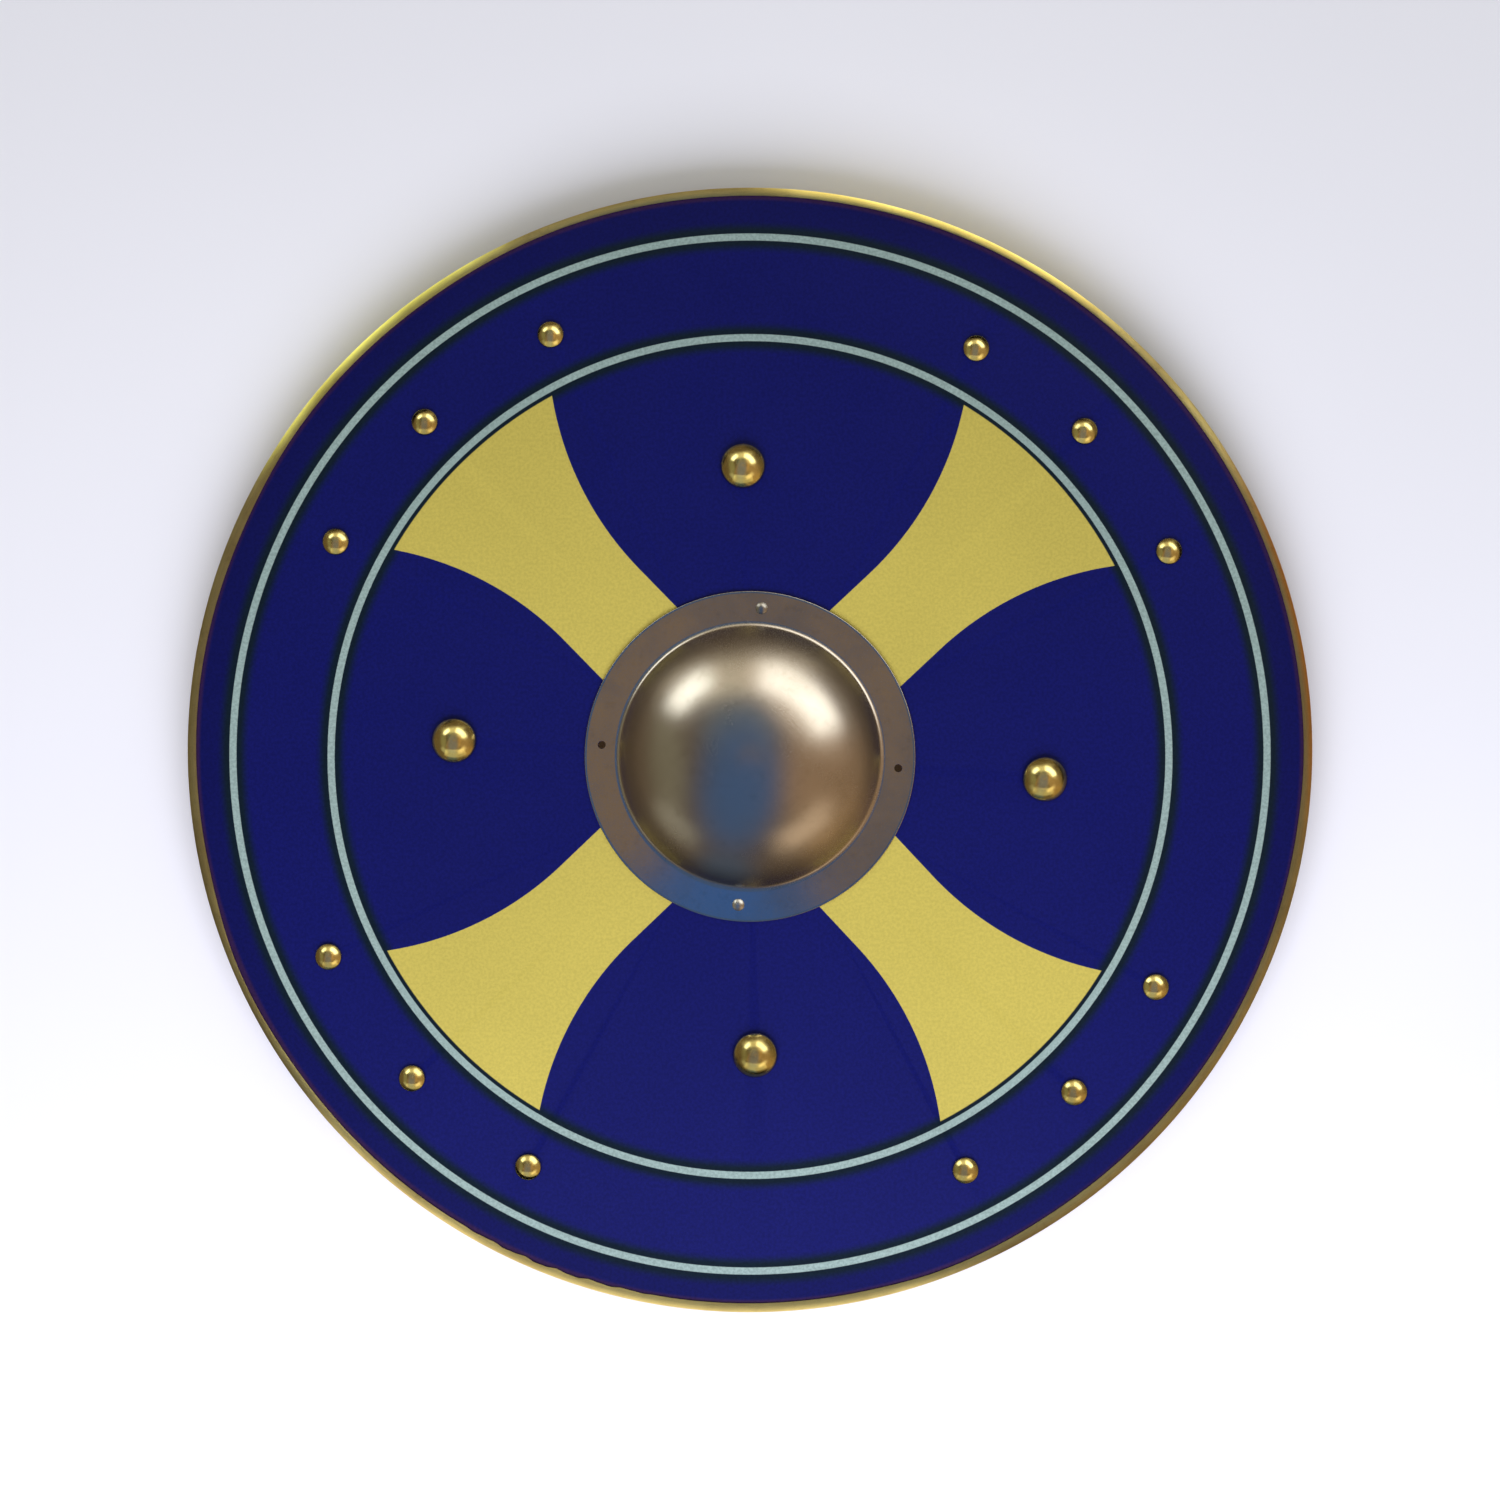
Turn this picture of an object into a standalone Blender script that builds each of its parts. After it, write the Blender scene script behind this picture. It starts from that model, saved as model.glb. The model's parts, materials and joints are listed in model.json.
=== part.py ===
"""Round wooden shield: a painted board with a folded brass edging, a domed steel boss,
domed brass studs, and a wooden grip across the hand hole behind the boss.

It lies on its back with the boss upwards. +X is the right side as seen from the front,
+Y is the top, +Z points out of the painted face, and Z = 0 is the surface it lies on.
Lengths are in metres and angles in degrees."""

import math

import bmesh
import bpy

# Air left between pieces that touch
FIT_GAP = 0.0003

# Board
SHIELD_DIAMETER = 0.590
BOARD_THICKNESS = 0.009
HAND_HOLE_MARGIN = 0.007  # how far the hand hole's edge lies inside the foot of the dome
PATTERN_DROP = 0.0034  # the boss and the studs are centred this far below the board's centre

# Brass edging
RIM_SHEET = 0.0006
RIM_LIP_WIDTH = 0.0056  # how far it reaches in over the front and the back
RIM_BEND_RADIUS = 0.0036

# Steel boss: the dome is a cap of a sphere, and the holes are midway across the flange
DOME_FOOT_DIAMETER = 0.138
DOME_HEIGHT = 0.0290
DOME_FILLET = 0.004  # radius of the hollow fillet between the dome and the flange
FLANGE_WIDTH = 0.0176  # from the foot of the dome to the flange's edge
BOSS_SHEET = 0.0015
BOSS_TURN = -4.5
BOSS_HOLE_DIAMETER = 0.0042

# Nails of the boss
NAIL_HEAD_OVERHANG = 0.00105  # how far the head reaches past its hole, all round
NAIL_HEAD_HEIGHT = 0.0018
NAILS = {"top": 90.0, "bottom": 270.0}

# Studs: side: (angle, how far outside the circle it was driven in)
LARGE_STUD_DIAMETER = 0.0235
LARGE_STUD_HEIGHT = 0.0090
LARGE_STUD_SHANK = 0.005
LARGE_STUD_CIRCLE = 0.309
LARGE_STUDS = {
    "top": (91.4, -0.0023),
    "left": (176.9, 0.0006),
    "bottom": (271.0, 0.0017),
    "right": (355.6, 0.0002),
}
SMALL_STUD_DIAMETER = 0.0139
SMALL_STUD_HEIGHT = 0.0044
SMALL_STUD_SHANK = 0.003
SMALL_STUD_INSET = 0.0507  # from the shield's edge to the circle that they stand on
SMALL_STUD_ANGLES = (
    26.1, 44.2, 61.0, 115.3, 134.2, 152.6, 205.4, 223.6, 241.6, 297.5, 314.0, 330.4,
)
WOOD_UNDER_TIPS = 0.002  # wood left between a blind hole and the board's back

# Grip: it is thick across the hand hole and thinner at both ends
GRIP_WIDTH = 0.030
GRIP_END_THICKNESS = 0.007
GRIP_END_REACH = 0.026  # from the middle of a stud to the grip's end
GRIP_RAMP = 0.034  # length of the slope from the hand's thickness to the end's
GRIP_EDGE_RADIUS = 0.0025
PEENED_OVERHANG = 0.0015  # how far a peened shank end spreads past its shank, all round
PEENED_HEIGHT = 0.0015
PEENED_CLEARANCE = 0.0067  # from the surface that the shield lies on up to the peened ends
WASHER_BORDER = 0.003  # how far a washer shows round the peened end
WASHER_THICKNESS = 0.0012

# Sides of the round pieces
RIM_SIDES = 80
HAND_HOLE_SIDES = 44
BOSS_SIDES = 48
LARGE_STUD_SIDES = 16
SMALL_STUD_SIDES = 12
HOLE_SIDES = 10
BEND_SEGMENTS = 2
DOME_SEGMENTS = 7
FILLET_SEGMENTS = 2
HEAD_SEGMENTS = 3
RAMP_SEGMENTS = 6
GRIP_END_SEGMENTS = 10
CUT_MARGIN = 0.002  # how far a cutter stands out of what it cuts
MERGE_DISTANCE = 0.00001

# Places worked out from the sizes above
WASHER_BOTTOM = PEENED_CLEARANCE + PEENED_HEIGHT + FIT_GAP
WASHER_TOP = WASHER_BOTTOM + WASHER_THICKNESS
GRIP_END_BOTTOM = WASHER_TOP + FIT_GAP
GRIP_TOP = GRIP_END_BOTTOM + GRIP_END_THICKNESS
BOARD_BACK = GRIP_TOP + FIT_GAP
BOARD_FRONT = BOARD_BACK + BOARD_THICKNESS
FLANGE_TOP = BOARD_FRONT + FIT_GAP + BOSS_SHEET
SHIELD_RADIUS = SHIELD_DIAMETER / 2
BOARD_RADIUS = SHIELD_RADIUS - RIM_SHEET - FIT_GAP
DOME_FOOT_RADIUS = DOME_FOOT_DIAMETER / 2
DOME_RADIUS = (DOME_FOOT_RADIUS**2 + DOME_HEIGHT**2) / (2 * DOME_HEIGHT)
FLANGE_RADIUS = DOME_FOOT_RADIUS + FLANGE_WIDTH
HAND_HOLE_RADIUS = DOME_FOOT_RADIUS - HAND_HOLE_MARGIN
BOSS_HOLE_RADIUS = BOSS_HOLE_DIAMETER / 2
BOSS_HOLE_CIRCLE_RADIUS = DOME_FOOT_RADIUS + FLANGE_WIDTH / 2
SMALL_STUD_CIRCLE_RADIUS = SHIELD_RADIUS - SMALL_STUD_INSET
LARGE_HOLE_RADIUS = LARGE_STUD_SHANK / 2 + FIT_GAP
SMALL_HOLE_RADIUS = SMALL_STUD_SHANK / 2 + FIT_GAP
PEENED_RADIUS = LARGE_STUD_SHANK / 2 + PEENED_OVERHANG
BLIND_DEPTH = BOARD_THICKNESS - WOOD_UNDER_TIPS


def polar(angle, radius):
    """X and Y of a place at an angle and a distance from the pattern's centre."""
    turn = math.radians(angle)
    return radius * math.cos(turn), radius * math.sin(turn)


def large_stud_place(side):
    angle, outward = LARGE_STUDS[side]
    return polar(angle, LARGE_STUD_CIRCLE / 2 + outward)


def boss_hole_place(angle):
    return polar(angle + BOSS_TURN, BOSS_HOLE_CIRCLE_RADIUS)


def holds_grip(side):
    return side in ("left", "right")


def arc(centre, radius, start, end, segments):
    """Points on a circle in the plane of a turned profile, as (distance from axis, height)."""
    points = []
    for step in range(segments + 1):
        angle = math.radians(start + (end - start) * step / segments)
        points.append((centre[0] + radius * math.cos(angle), centre[1] + radius * math.sin(angle)))
    return points


def clear_scene():
    for thing in list(bpy.data.objects):
        bpy.data.objects.remove(thing)


def new_collection(name):
    collection = bpy.data.collections.new(name)
    bpy.context.scene.collection.children.link(collection)
    return collection


def make_material(name, colour, roughness, metallic):
    material = bpy.data.materials.new(name)
    material.use_nodes = True
    shader = material.node_tree.nodes["Principled BSDF"]
    shader.inputs["Base Color"].default_value = (*colour, 1.0)
    shader.inputs["Roughness"].default_value = roughness
    shader.inputs["Metallic"].default_value = metallic
    return material


class Shield:
    """The collections, the pattern's centre and the materials that the pieces share."""

    def __init__(self):
        self.pieces = new_collection("round_shield")
        self.cutters = new_collection("cutters")
        self.centre = bpy.data.objects.new("pattern_centre", None)
        self.centre.location = (0.0, -PATTERN_DROP, 0.0)
        self.pieces.objects.link(self.centre)
        self.paint = make_material("painted_board", (0.012, 0.012, 0.11), 0.5, 0.0)
        self.brass = make_material("brass", (0.62, 0.50, 0.22), 0.28, 1.0)
        self.steel = make_material("boss_steel", (0.42, 0.37, 0.31), 0.34, 1.0)
        self.nail_steel = make_material("nail_steel", (0.60, 0.60, 0.58), 0.30, 1.0)
        self.grip_wood = make_material("grip_wood", (0.45, 0.28, 0.14), 0.6, 0.0)

    def add(self, name, mesh, material, place=(0.0, 0.0, 0.0), centred=True):
        piece = bpy.data.objects.new(name, mesh)
        piece.location = place
        if not mesh.materials:
            mesh.materials.append(material)
        if centred:
            piece.parent = self.centre
        self.pieces.objects.link(piece)
        return piece

    def add_cutter(self, name, mesh, place=(0.0, 0.0, 0.0)):
        cutter = bpy.data.objects.new(name, mesh)
        cutter.location = place
        cutter.parent = self.centre
        cutter.hide_render = True
        cutter.display_type = "WIRE"
        self.cutters.objects.link(cutter)
        return cutter


def cylinder_mesh(name, radius, low, high, sides):
    mesh = bpy.data.meshes.new(name)
    shape = bmesh.new()
    bmesh.ops.create_cone(
        shape, cap_ends=True, segments=sides, radius1=radius, radius2=radius, depth=high - low
    )
    bmesh.ops.translate(shape, vec=(0.0, 0.0, (high + low) / 2), verts=shape.verts)
    shape.to_mesh(mesh)
    shape.free()
    return mesh


def profile_mesh(name, points, closed=False):
    """A line of (distance from axis, height) points, which a Screw modifier turns."""
    mesh = bpy.data.meshes.new(name)
    edges = [(index, index + 1) for index in range(len(points) - 1)]
    if closed:
        edges.append((len(points) - 1, 0))
    mesh.from_pydata([(distance, 0.0, height) for distance, height in points], edges, [])
    return mesh


def turn_profile(piece, sides):
    screw = piece.modifiers.new("turn", "SCREW")
    screw.steps = sides
    screw.render_steps = sides
    screw.use_merge_vertices = True
    screw.merge_threshold = MERGE_DISTANCE
    screw.use_smooth_shade = True


def thicken_inwards(piece, sheet):
    shell = piece.modifiers.new("sheet", "SOLIDIFY")
    shell.thickness = sheet
    shell.offset = -1.0
    shell.use_even_offset = True


def round_edges(piece, radius, segments):
    bevel = piece.modifiers.new("rounded_edges", "BEVEL")
    bevel.width = radius
    bevel.segments = segments
    bevel.limit_method = "ANGLE"
    bevel.angle_limit = math.radians(40.0)


def combine(piece, cutter, operation):
    boolean = piece.modifiers.new(cutter.name, "BOOLEAN")
    boolean.operation = operation
    boolean.solver = "EXACT"
    boolean.object = cutter


def drill(shield, piece, name, place, radius, low, high, sides=HOLE_SIDES):
    """Cuts a round hole between two heights, centred on a place in the pattern."""
    cutter = shield.add_cutter(name, cylinder_mesh(name, radius, low, high, sides), (*place, 0.0))
    combine(piece, cutter, "DIFFERENCE")


def outline_mesh(name, points, depth):
    """A flat outline, filled and given a depth evenly to both sides of its plane."""
    curve = bpy.data.curves.new(name, "CURVE")
    curve.dimensions = "2D"
    curve.fill_mode = "BOTH"
    curve.extrude = depth / 2
    spline = curve.splines.new("POLY")
    spline.points.add(len(points) - 1)
    for point, (across, up) in zip(spline.points, points):
        point.co = (across, up, 0.0, 1.0)
    spline.use_cyclic_u = True
    holder = bpy.data.objects.new(name, curve)
    bpy.context.scene.collection.objects.link(holder)
    bpy.context.view_layer.update()
    mesh = bpy.data.meshes.new_from_object(holder.evaluated_get(bpy.context.evaluated_depsgraph_get()))
    bpy.data.objects.remove(holder)
    shape = bmesh.new()
    shape.from_mesh(mesh)
    bmesh.ops.remove_doubles(shape, verts=shape.verts, dist=MERGE_DISTANCE)
    shape.to_mesh(mesh)
    shape.free()
    return mesh


def build_board(shield):
    """A flat disc, its edge rounded to follow the bends of the edging."""
    mesh = cylinder_mesh("board", BOARD_RADIUS, BOARD_BACK, BOARD_FRONT, RIM_SIDES)
    board = shield.add("board", mesh, shield.paint, centred=False)
    round_edges(board, RIM_BEND_RADIUS - RIM_SHEET - FIT_GAP, BEND_SEGMENTS)
    below = BOARD_BACK - CUT_MARGIN
    above = BOARD_FRONT + CUT_MARGIN
    drill(shield, board, "hand_hole", (0.0, 0.0), HAND_HOLE_RADIUS, below, above, HAND_HOLE_SIDES)
    blind = BOARD_FRONT - BLIND_DEPTH
    for number, angle in enumerate(SMALL_STUD_ANGLES, 1):
        place = polar(angle, SMALL_STUD_CIRCLE_RADIUS)
        drill(shield, board, f"small_hole_{number:02d}", place, SMALL_HOLE_RADIUS, blind, above)
    for side in LARGE_STUDS:
        place = large_stud_place(side)
        low = below if holds_grip(side) else blind
        drill(shield, board, f"large_hole_{side}", place, LARGE_HOLE_RADIUS, low, above)
    for side, angle in NAILS.items():
        place = boss_hole_place(angle)
        drill(shield, board, f"nail_hole_{side}", place, BOSS_HOLE_RADIUS, blind, above)


def build_rim(shield):
    """A strip of brass folded over the board's edge, front and back."""
    top = BOARD_FRONT + FIT_GAP + RIM_SHEET
    bottom = BOARD_BACK - FIT_GAP - RIM_SHEET
    lip = SHIELD_RADIUS - RIM_LIP_WIDTH
    bend = SHIELD_RADIUS - RIM_BEND_RADIUS
    points = [(lip, top)]
    points += arc((bend, top - RIM_BEND_RADIUS), RIM_BEND_RADIUS, 90.0, 0.0, BEND_SEGMENTS)
    points += arc((bend, bottom + RIM_BEND_RADIUS), RIM_BEND_RADIUS, 0.0, -90.0, BEND_SEGMENTS)
    points.append((lip, bottom))
    rim = shield.add("rim", profile_mesh("rim", points), shield.brass, centred=False)
    turn_profile(rim, RIM_SIDES)
    thicken_inwards(rim, RIM_SHEET)


def boss_profile():
    """The outside of the boss, from the top of the dome out to the flange's edge."""
    sphere_centre = FLANGE_TOP + DOME_HEIGHT - DOME_RADIUS
    fillet_height = FLANGE_TOP + DOME_FILLET
    fillet_distance = math.sqrt(
        (DOME_RADIUS + DOME_FILLET) ** 2 - (fillet_height - sphere_centre) ** 2
    )
    meeting = math.degrees(math.atan2(fillet_height - sphere_centre, fillet_distance))
    points = arc((0.0, sphere_centre), DOME_RADIUS, 90.0, meeting, DOME_SEGMENTS)
    points[0] = (0.0, FLANGE_TOP + DOME_HEIGHT)
    fillet = arc(
        (fillet_distance, fillet_height), DOME_FILLET, meeting + 180.0, 270.0, FILLET_SEGMENTS
    )
    return points + fillet[1:] + [(FLANGE_RADIUS, FLANGE_TOP)]


def build_boss(shield):
    """A dome and its flange pressed from one sheet, open at the back, with four holes."""
    boss = shield.add("boss", profile_mesh("boss", boss_profile()), shield.steel)
    turn_profile(boss, BOSS_SIDES)
    thicken_inwards(boss, BOSS_SHEET)
    low = FLANGE_TOP - BOSS_SHEET - CUT_MARGIN
    high = FLANGE_TOP + CUT_MARGIN
    for quarter in range(4):
        place = boss_hole_place(quarter * 90.0)
        drill(shield, boss, f"boss_hole_{quarter}", place, BOSS_HOLE_RADIUS, low, high)


def headed_profile(head_radius, head_height, shank_radius, shank_length):
    """A domed head standing on height 0 with a straight shank below it."""
    sphere = (head_radius**2 + head_height**2) / (2 * head_height)
    edge = math.degrees(math.acos(head_radius / sphere))
    if head_height > head_radius:
        edge = -edge
    points = arc((0.0, head_height - sphere), sphere, 90.0, edge, HEAD_SEGMENTS)
    points[0] = (0.0, head_height)
    return points + [(shank_radius, 0.0), (shank_radius, -shank_length)]


def driven_profile(head_radius, head_height, shank_radius, shank_length):
    """A nail or stud whose shank ends inside the wood."""
    points = headed_profile(head_radius, head_height, shank_radius, shank_length)
    return points + [(0.0, -shank_length)]


def riveted_profile(head_radius, head_height, shank_radius, shank_length):
    """A stud whose shank goes right through and is peened over a washer."""
    points = headed_profile(head_radius, head_height, shank_radius, shank_length)
    end = -shank_length - PEENED_HEIGHT
    return points + [(PEENED_RADIUS, -shank_length), (shank_radius, end), (0.0, end)]


def build_boss_nails(shield):
    head_radius = BOSS_HOLE_RADIUS + NAIL_HEAD_OVERHANG
    shank_radius = BOSS_HOLE_RADIUS - FIT_GAP
    shank_length = BOSS_SHEET + FIT_GAP + BLIND_DEPTH
    points = driven_profile(head_radius, NAIL_HEAD_HEIGHT, shank_radius, shank_length)
    mesh = profile_mesh("boss_nail", points)
    for side, angle in NAILS.items():
        place = (*boss_hole_place(angle), FLANGE_TOP + FIT_GAP)
        nail = shield.add(f"boss_nail_{side}", mesh, shield.nail_steel, place)
        turn_profile(nail, SMALL_STUD_SIDES)


def build_large_studs(shield):
    sizes = (LARGE_STUD_DIAMETER / 2, LARGE_STUD_HEIGHT, LARGE_STUD_SHANK / 2)
    head_base = BOARD_FRONT + FIT_GAP
    through_length = head_base - WASHER_BOTTOM + FIT_GAP
    driven = profile_mesh("driven_stud", driven_profile(*sizes, BLIND_DEPTH))
    riveted = profile_mesh("riveted_stud", riveted_profile(*sizes, through_length))
    for side in LARGE_STUDS:
        mesh = riveted if holds_grip(side) else driven
        place = (*large_stud_place(side), head_base)
        stud = shield.add(f"large_stud_{side}", mesh, shield.brass, place)
        turn_profile(stud, LARGE_STUD_SIDES)


def build_small_studs(shield):
    points = driven_profile(
        SMALL_STUD_DIAMETER / 2, SMALL_STUD_HEIGHT, SMALL_STUD_SHANK / 2, BLIND_DEPTH
    )
    mesh = profile_mesh("small_stud", points)
    for number, angle in enumerate(SMALL_STUD_ANGLES, 1):
        place = (*polar(angle, SMALL_STUD_CIRCLE_RADIUS), BOARD_FRONT + FIT_GAP)
        stud = shield.add(f"small_stud_{number:02d}", mesh, shield.brass, place)
        turn_profile(stud, SMALL_STUD_SIDES)


def grip_line():
    """The middle, the direction and the length of the line between the grip's two studs."""
    left = large_stud_place("left")
    right = large_stud_place("right")
    middle = ((left[0] + right[0]) / 2, (left[1] + right[1]) / 2)
    angle = math.atan2(right[1] - left[1], right[0] - left[0])
    return middle, angle, math.dist(left, right)


def grip_side_outline(length):
    """The grip from the side: its top is flat, and its middle reaches down to height 0."""
    ramp_foot = HAND_HOLE_RADIUS + GRIP_RAMP
    half = [(length / 2, GRIP_TOP), (length / 2, GRIP_END_BOTTOM)]
    for step in range(RAMP_SEGMENTS + 1):
        share = step / RAMP_SEGMENTS
        rise = (1 + math.cos(math.pi * share)) / 2
        half.append((ramp_foot - share * GRIP_RAMP, rise * GRIP_END_BOTTOM))
    return half + [(-across, height) for across, height in reversed(half)]


def grip_plan_outline(length):
    """The grip from behind: straight sides and round ends."""
    radius = GRIP_WIDTH / 2
    reach = length / 2 - radius
    right = arc((reach, 0.0), radius, -90.0, 90.0, GRIP_END_SEGMENTS)
    left = arc((-reach, 0.0), radius, 90.0, 270.0, GRIP_END_SEGMENTS)
    return right + left


def build_grip(shield):
    """A wooden bar across the hand hole with a hole at each end for a stud's shank."""
    middle, angle, span = grip_line()
    length = span + 2 * GRIP_END_REACH
    bar = outline_mesh("grip", grip_side_outline(length), GRIP_WIDTH + 2 * CUT_MARGIN)
    grip = shield.add("grip", bar, shield.grip_wood, (*middle, 0.0))
    grip.rotation_euler = (math.radians(90.0), 0.0, angle)
    outline = outline_mesh("grip_plan", grip_plan_outline(length), 2 * BOARD_BACK + 2 * CUT_MARGIN)
    plan = shield.add_cutter("grip_plan", outline, (*middle, 0.0))
    plan.rotation_euler = (0.0, 0.0, angle)
    combine(grip, plan, "INTERSECT")
    round_edges(grip, GRIP_EDGE_RADIUS, BEND_SEGMENTS)
    for side in LARGE_STUDS:
        if holds_grip(side):
            place = large_stud_place(side)
            high = GRIP_TOP + CUT_MARGIN
            drill(shield, grip, f"grip_hole_{side}", place, LARGE_HOLE_RADIUS, 0.0, high)


def build_grip_washers(shield):
    edge = PEENED_RADIUS + WASHER_BORDER
    points = [(LARGE_HOLE_RADIUS, WASHER_TOP), (edge, WASHER_TOP)]
    points += [(edge, WASHER_BOTTOM), (LARGE_HOLE_RADIUS, WASHER_BOTTOM)]
    mesh = profile_mesh("grip_washer", points, closed=True)
    for side in LARGE_STUDS:
        if holds_grip(side):
            place = (*large_stud_place(side), 0.0)
            washer = shield.add(f"grip_washer_{side}", mesh, shield.brass, place)
            turn_profile(washer, LARGE_STUD_SIDES)


def main():
    clear_scene()
    shield = Shield()
    build_board(shield)
    build_rim(shield)
    build_boss(shield)
    build_boss_nails(shield)
    build_large_studs(shield)
    build_small_studs(shield)
    build_grip(shield)
    build_grip_washers(shield)


main()
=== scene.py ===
"""Looks of a round wooden shield that lies on its back: the painted board, the folded brass
edging, the domed steel boss with its nails, the brass studs, and the wooden grip behind.

Lengths are in metres in the part's own frame: +X right and +Y up as seen from the front,
+Z out of the painted face, and Z = 0 at the surface that the shield lies on."""

import json
import math

import bmesh
import bpy
from bpy.props import FloatProperty, FloatVectorProperty, PointerProperty
from bpy.types import Operator, Panel, PropertyGroup
from mathutils import Matrix, Vector

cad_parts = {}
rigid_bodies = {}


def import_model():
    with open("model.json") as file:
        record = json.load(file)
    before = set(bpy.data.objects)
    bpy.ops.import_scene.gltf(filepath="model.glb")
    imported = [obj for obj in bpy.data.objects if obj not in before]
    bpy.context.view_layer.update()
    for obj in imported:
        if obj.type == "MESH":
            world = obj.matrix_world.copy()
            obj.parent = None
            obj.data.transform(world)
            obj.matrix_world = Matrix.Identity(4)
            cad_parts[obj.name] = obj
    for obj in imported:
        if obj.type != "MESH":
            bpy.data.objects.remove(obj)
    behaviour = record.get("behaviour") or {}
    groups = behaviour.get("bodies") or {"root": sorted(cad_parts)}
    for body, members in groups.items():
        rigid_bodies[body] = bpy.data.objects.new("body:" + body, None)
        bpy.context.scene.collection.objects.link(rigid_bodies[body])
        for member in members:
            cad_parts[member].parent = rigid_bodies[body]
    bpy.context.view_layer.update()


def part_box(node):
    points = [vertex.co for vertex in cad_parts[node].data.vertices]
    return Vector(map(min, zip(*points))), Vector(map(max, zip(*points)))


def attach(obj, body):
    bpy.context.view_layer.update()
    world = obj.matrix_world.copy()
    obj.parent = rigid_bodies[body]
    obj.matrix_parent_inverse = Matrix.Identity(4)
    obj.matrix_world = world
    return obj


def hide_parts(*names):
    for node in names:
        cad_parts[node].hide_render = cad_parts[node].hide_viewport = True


bl_info = {
    "name": "Round wooden shield",
    "version": (1, 0, 0),
    "blender": (4, 5, 0),
    "location": "3D View > Sidebar > Shield",
    "description": "Builds the visible pieces of a round wooden shield on its packed frame",
    "category": "Object",
}

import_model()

BODY = "root"
MERGE_DISTANCE = 0.000002
SHARP_ANGLE = math.radians(32.0)

# Steps of the turned pieces
BOARD_STEPS = 256
RIM_STEPS = 720
BOSS_STEPS = 256
LARGE_STUD_STEPS = 64
SMALL_STUD_STEPS = 48
WASHER_STEPS = 64
DOME_SEGMENTS = 56
FILLET_SEGMENTS = 14
HEAD_SEGMENTS = 20
BEND_SEGMENTS = 12
LIP_SEGMENTS = 4
EDGE_SEGMENTS = 4
BRIM_SEGMENTS = 6
HOLE_SIDES = 32

# The board's edge: its small chamfers, the rounding of its outer side, and how far the rounding
# stays within the flat faces
BOARD_CHAMFER = 0.0007
BOARD_ROUNDING = 0.0034
BOARD_INSET = 0.0009
BOARD_EASE = 0.00025
PLIES = 5

# Holes: how far a drill starts and ends outside the piece, how deep the blind ones go, and radii
DRILL_ROOM = 0.002
PILOT_DEPTH = 0.007
SMALL_PILOT = 0.0018
LARGE_PILOT = 0.0028
NAIL_PILOT = 0.0020
FLANGE_HOLE = 0.0021

# Heads: the share of the radius that the crown takes, how early the crown bends, how steep it is
# at its edge in degrees, how far a stud's head stands off the paint, and how far it leans
HEAD_BRIM = 0.93
HEAD_ROUNDNESS = 1.28
NAIL_SLOPE = 34.0
LARGE_STUD_SLOPE = 45.0
SMALL_STUD_SLOPE = 40.0
NAIL_HEAD_HEIGHT = 0.0018
HEAD_LIFT = 0.0003
HEAD_LEAN = math.radians(1.1)
LEAN_TURN = math.radians(137.5)
# Radii of the shanks
NAIL_SHANK = 0.0018
LARGE_SHANK = 0.0025
SMALL_SHANK = 0.0015

# The boss: the rounding of the flange's outer edges and the flat beside the fillet
FLANGE_ROUNDING = 0.0004
FILLET_FLAT = 0.0006

# The grip: how much longer it is than the distance of its studs, and its rounded edges
GRIP_OVERHANG = 0.052
GRIP_ROUNDING = 0.0028
WASHER_HOLE = 0.0028
WASHER_ROUNDING = 0.0003

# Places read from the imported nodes
BOARD_LOW, BOARD_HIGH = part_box("board")
RIM_LOW, RIM_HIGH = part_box("rim")
BOSS_LOW, BOSS_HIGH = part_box("boss")
BOSS_CENTRE = (BOSS_LOW + BOSS_HIGH) / 2
FLANGE_RADIUS = (BOSS_HIGH.x - BOSS_LOW.x) / 2
SHIELD_RADIUS = (RIM_HIGH.x - RIM_LOW.x) / 2
GRIP_LOW, GRIP_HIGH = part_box("grip")

LARGE_STUDS = ("large_stud_top", "large_stud_left", "large_stud_bottom", "large_stud_right")
RIVETED_STUDS = ("large_stud_left", "large_stud_right")
SMALL_STUDS = tuple(f"small_stud_{number:02d}" for number in range(1, 13))
BOSS_NAILS = ("boss_nail_top", "boss_nail_bottom")
WASHERS = ("grip_washer_left", "grip_washer_right")

# The brass lip was trimmed by hand, so its width wanders: (azimuth in degrees, added width)
LIP_WIDTHS = (
    (0, 0.0001), (30, -0.0003), (60, -0.0006), (90, -0.0002), (108, -0.0004), (126, 0.0004),
    (144, -0.0001), (156, 0.0006), (174, -0.0001), (192, 0.0003), (204, -0.0013),
    (216, -0.0003), (230, -0.0005), (246, -0.0006), (258, 0.0002), (282, 0.0004),
    (290, -0.0003), (306, 0.0007), (330, 0.0004), (350, 0.0006),
)
# Its pinched stretch, from azimuth to azimuth, and its waves: size and how many in a full turn
SCALLOP_AZIMUTHS = (236.0, 262.0)
SCALLOP_WAVES = ((0.0005, 97.0), (0.0002, 211.0))

# Tarnish on each metal, and how strongly the seam along the edging covers the paint: partly dirt,
# partly painted contact shade under the lip and a painted reflection of the brass
EDGING_TARNISH = (0.56, 0.43, 0.16)
BOSS_TARNISH = (0.46, 0.42, 0.35)
NAIL_TARNISH = (0.40, 0.38, 0.33)
STUD_TARNISH = (0.58, 0.46, 0.16)
WASHER_TARNISH = (0.42, 0.29, 0.13)
SEAM_DIRT_AND_SHADE_STRENGTH = 0.75

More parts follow.
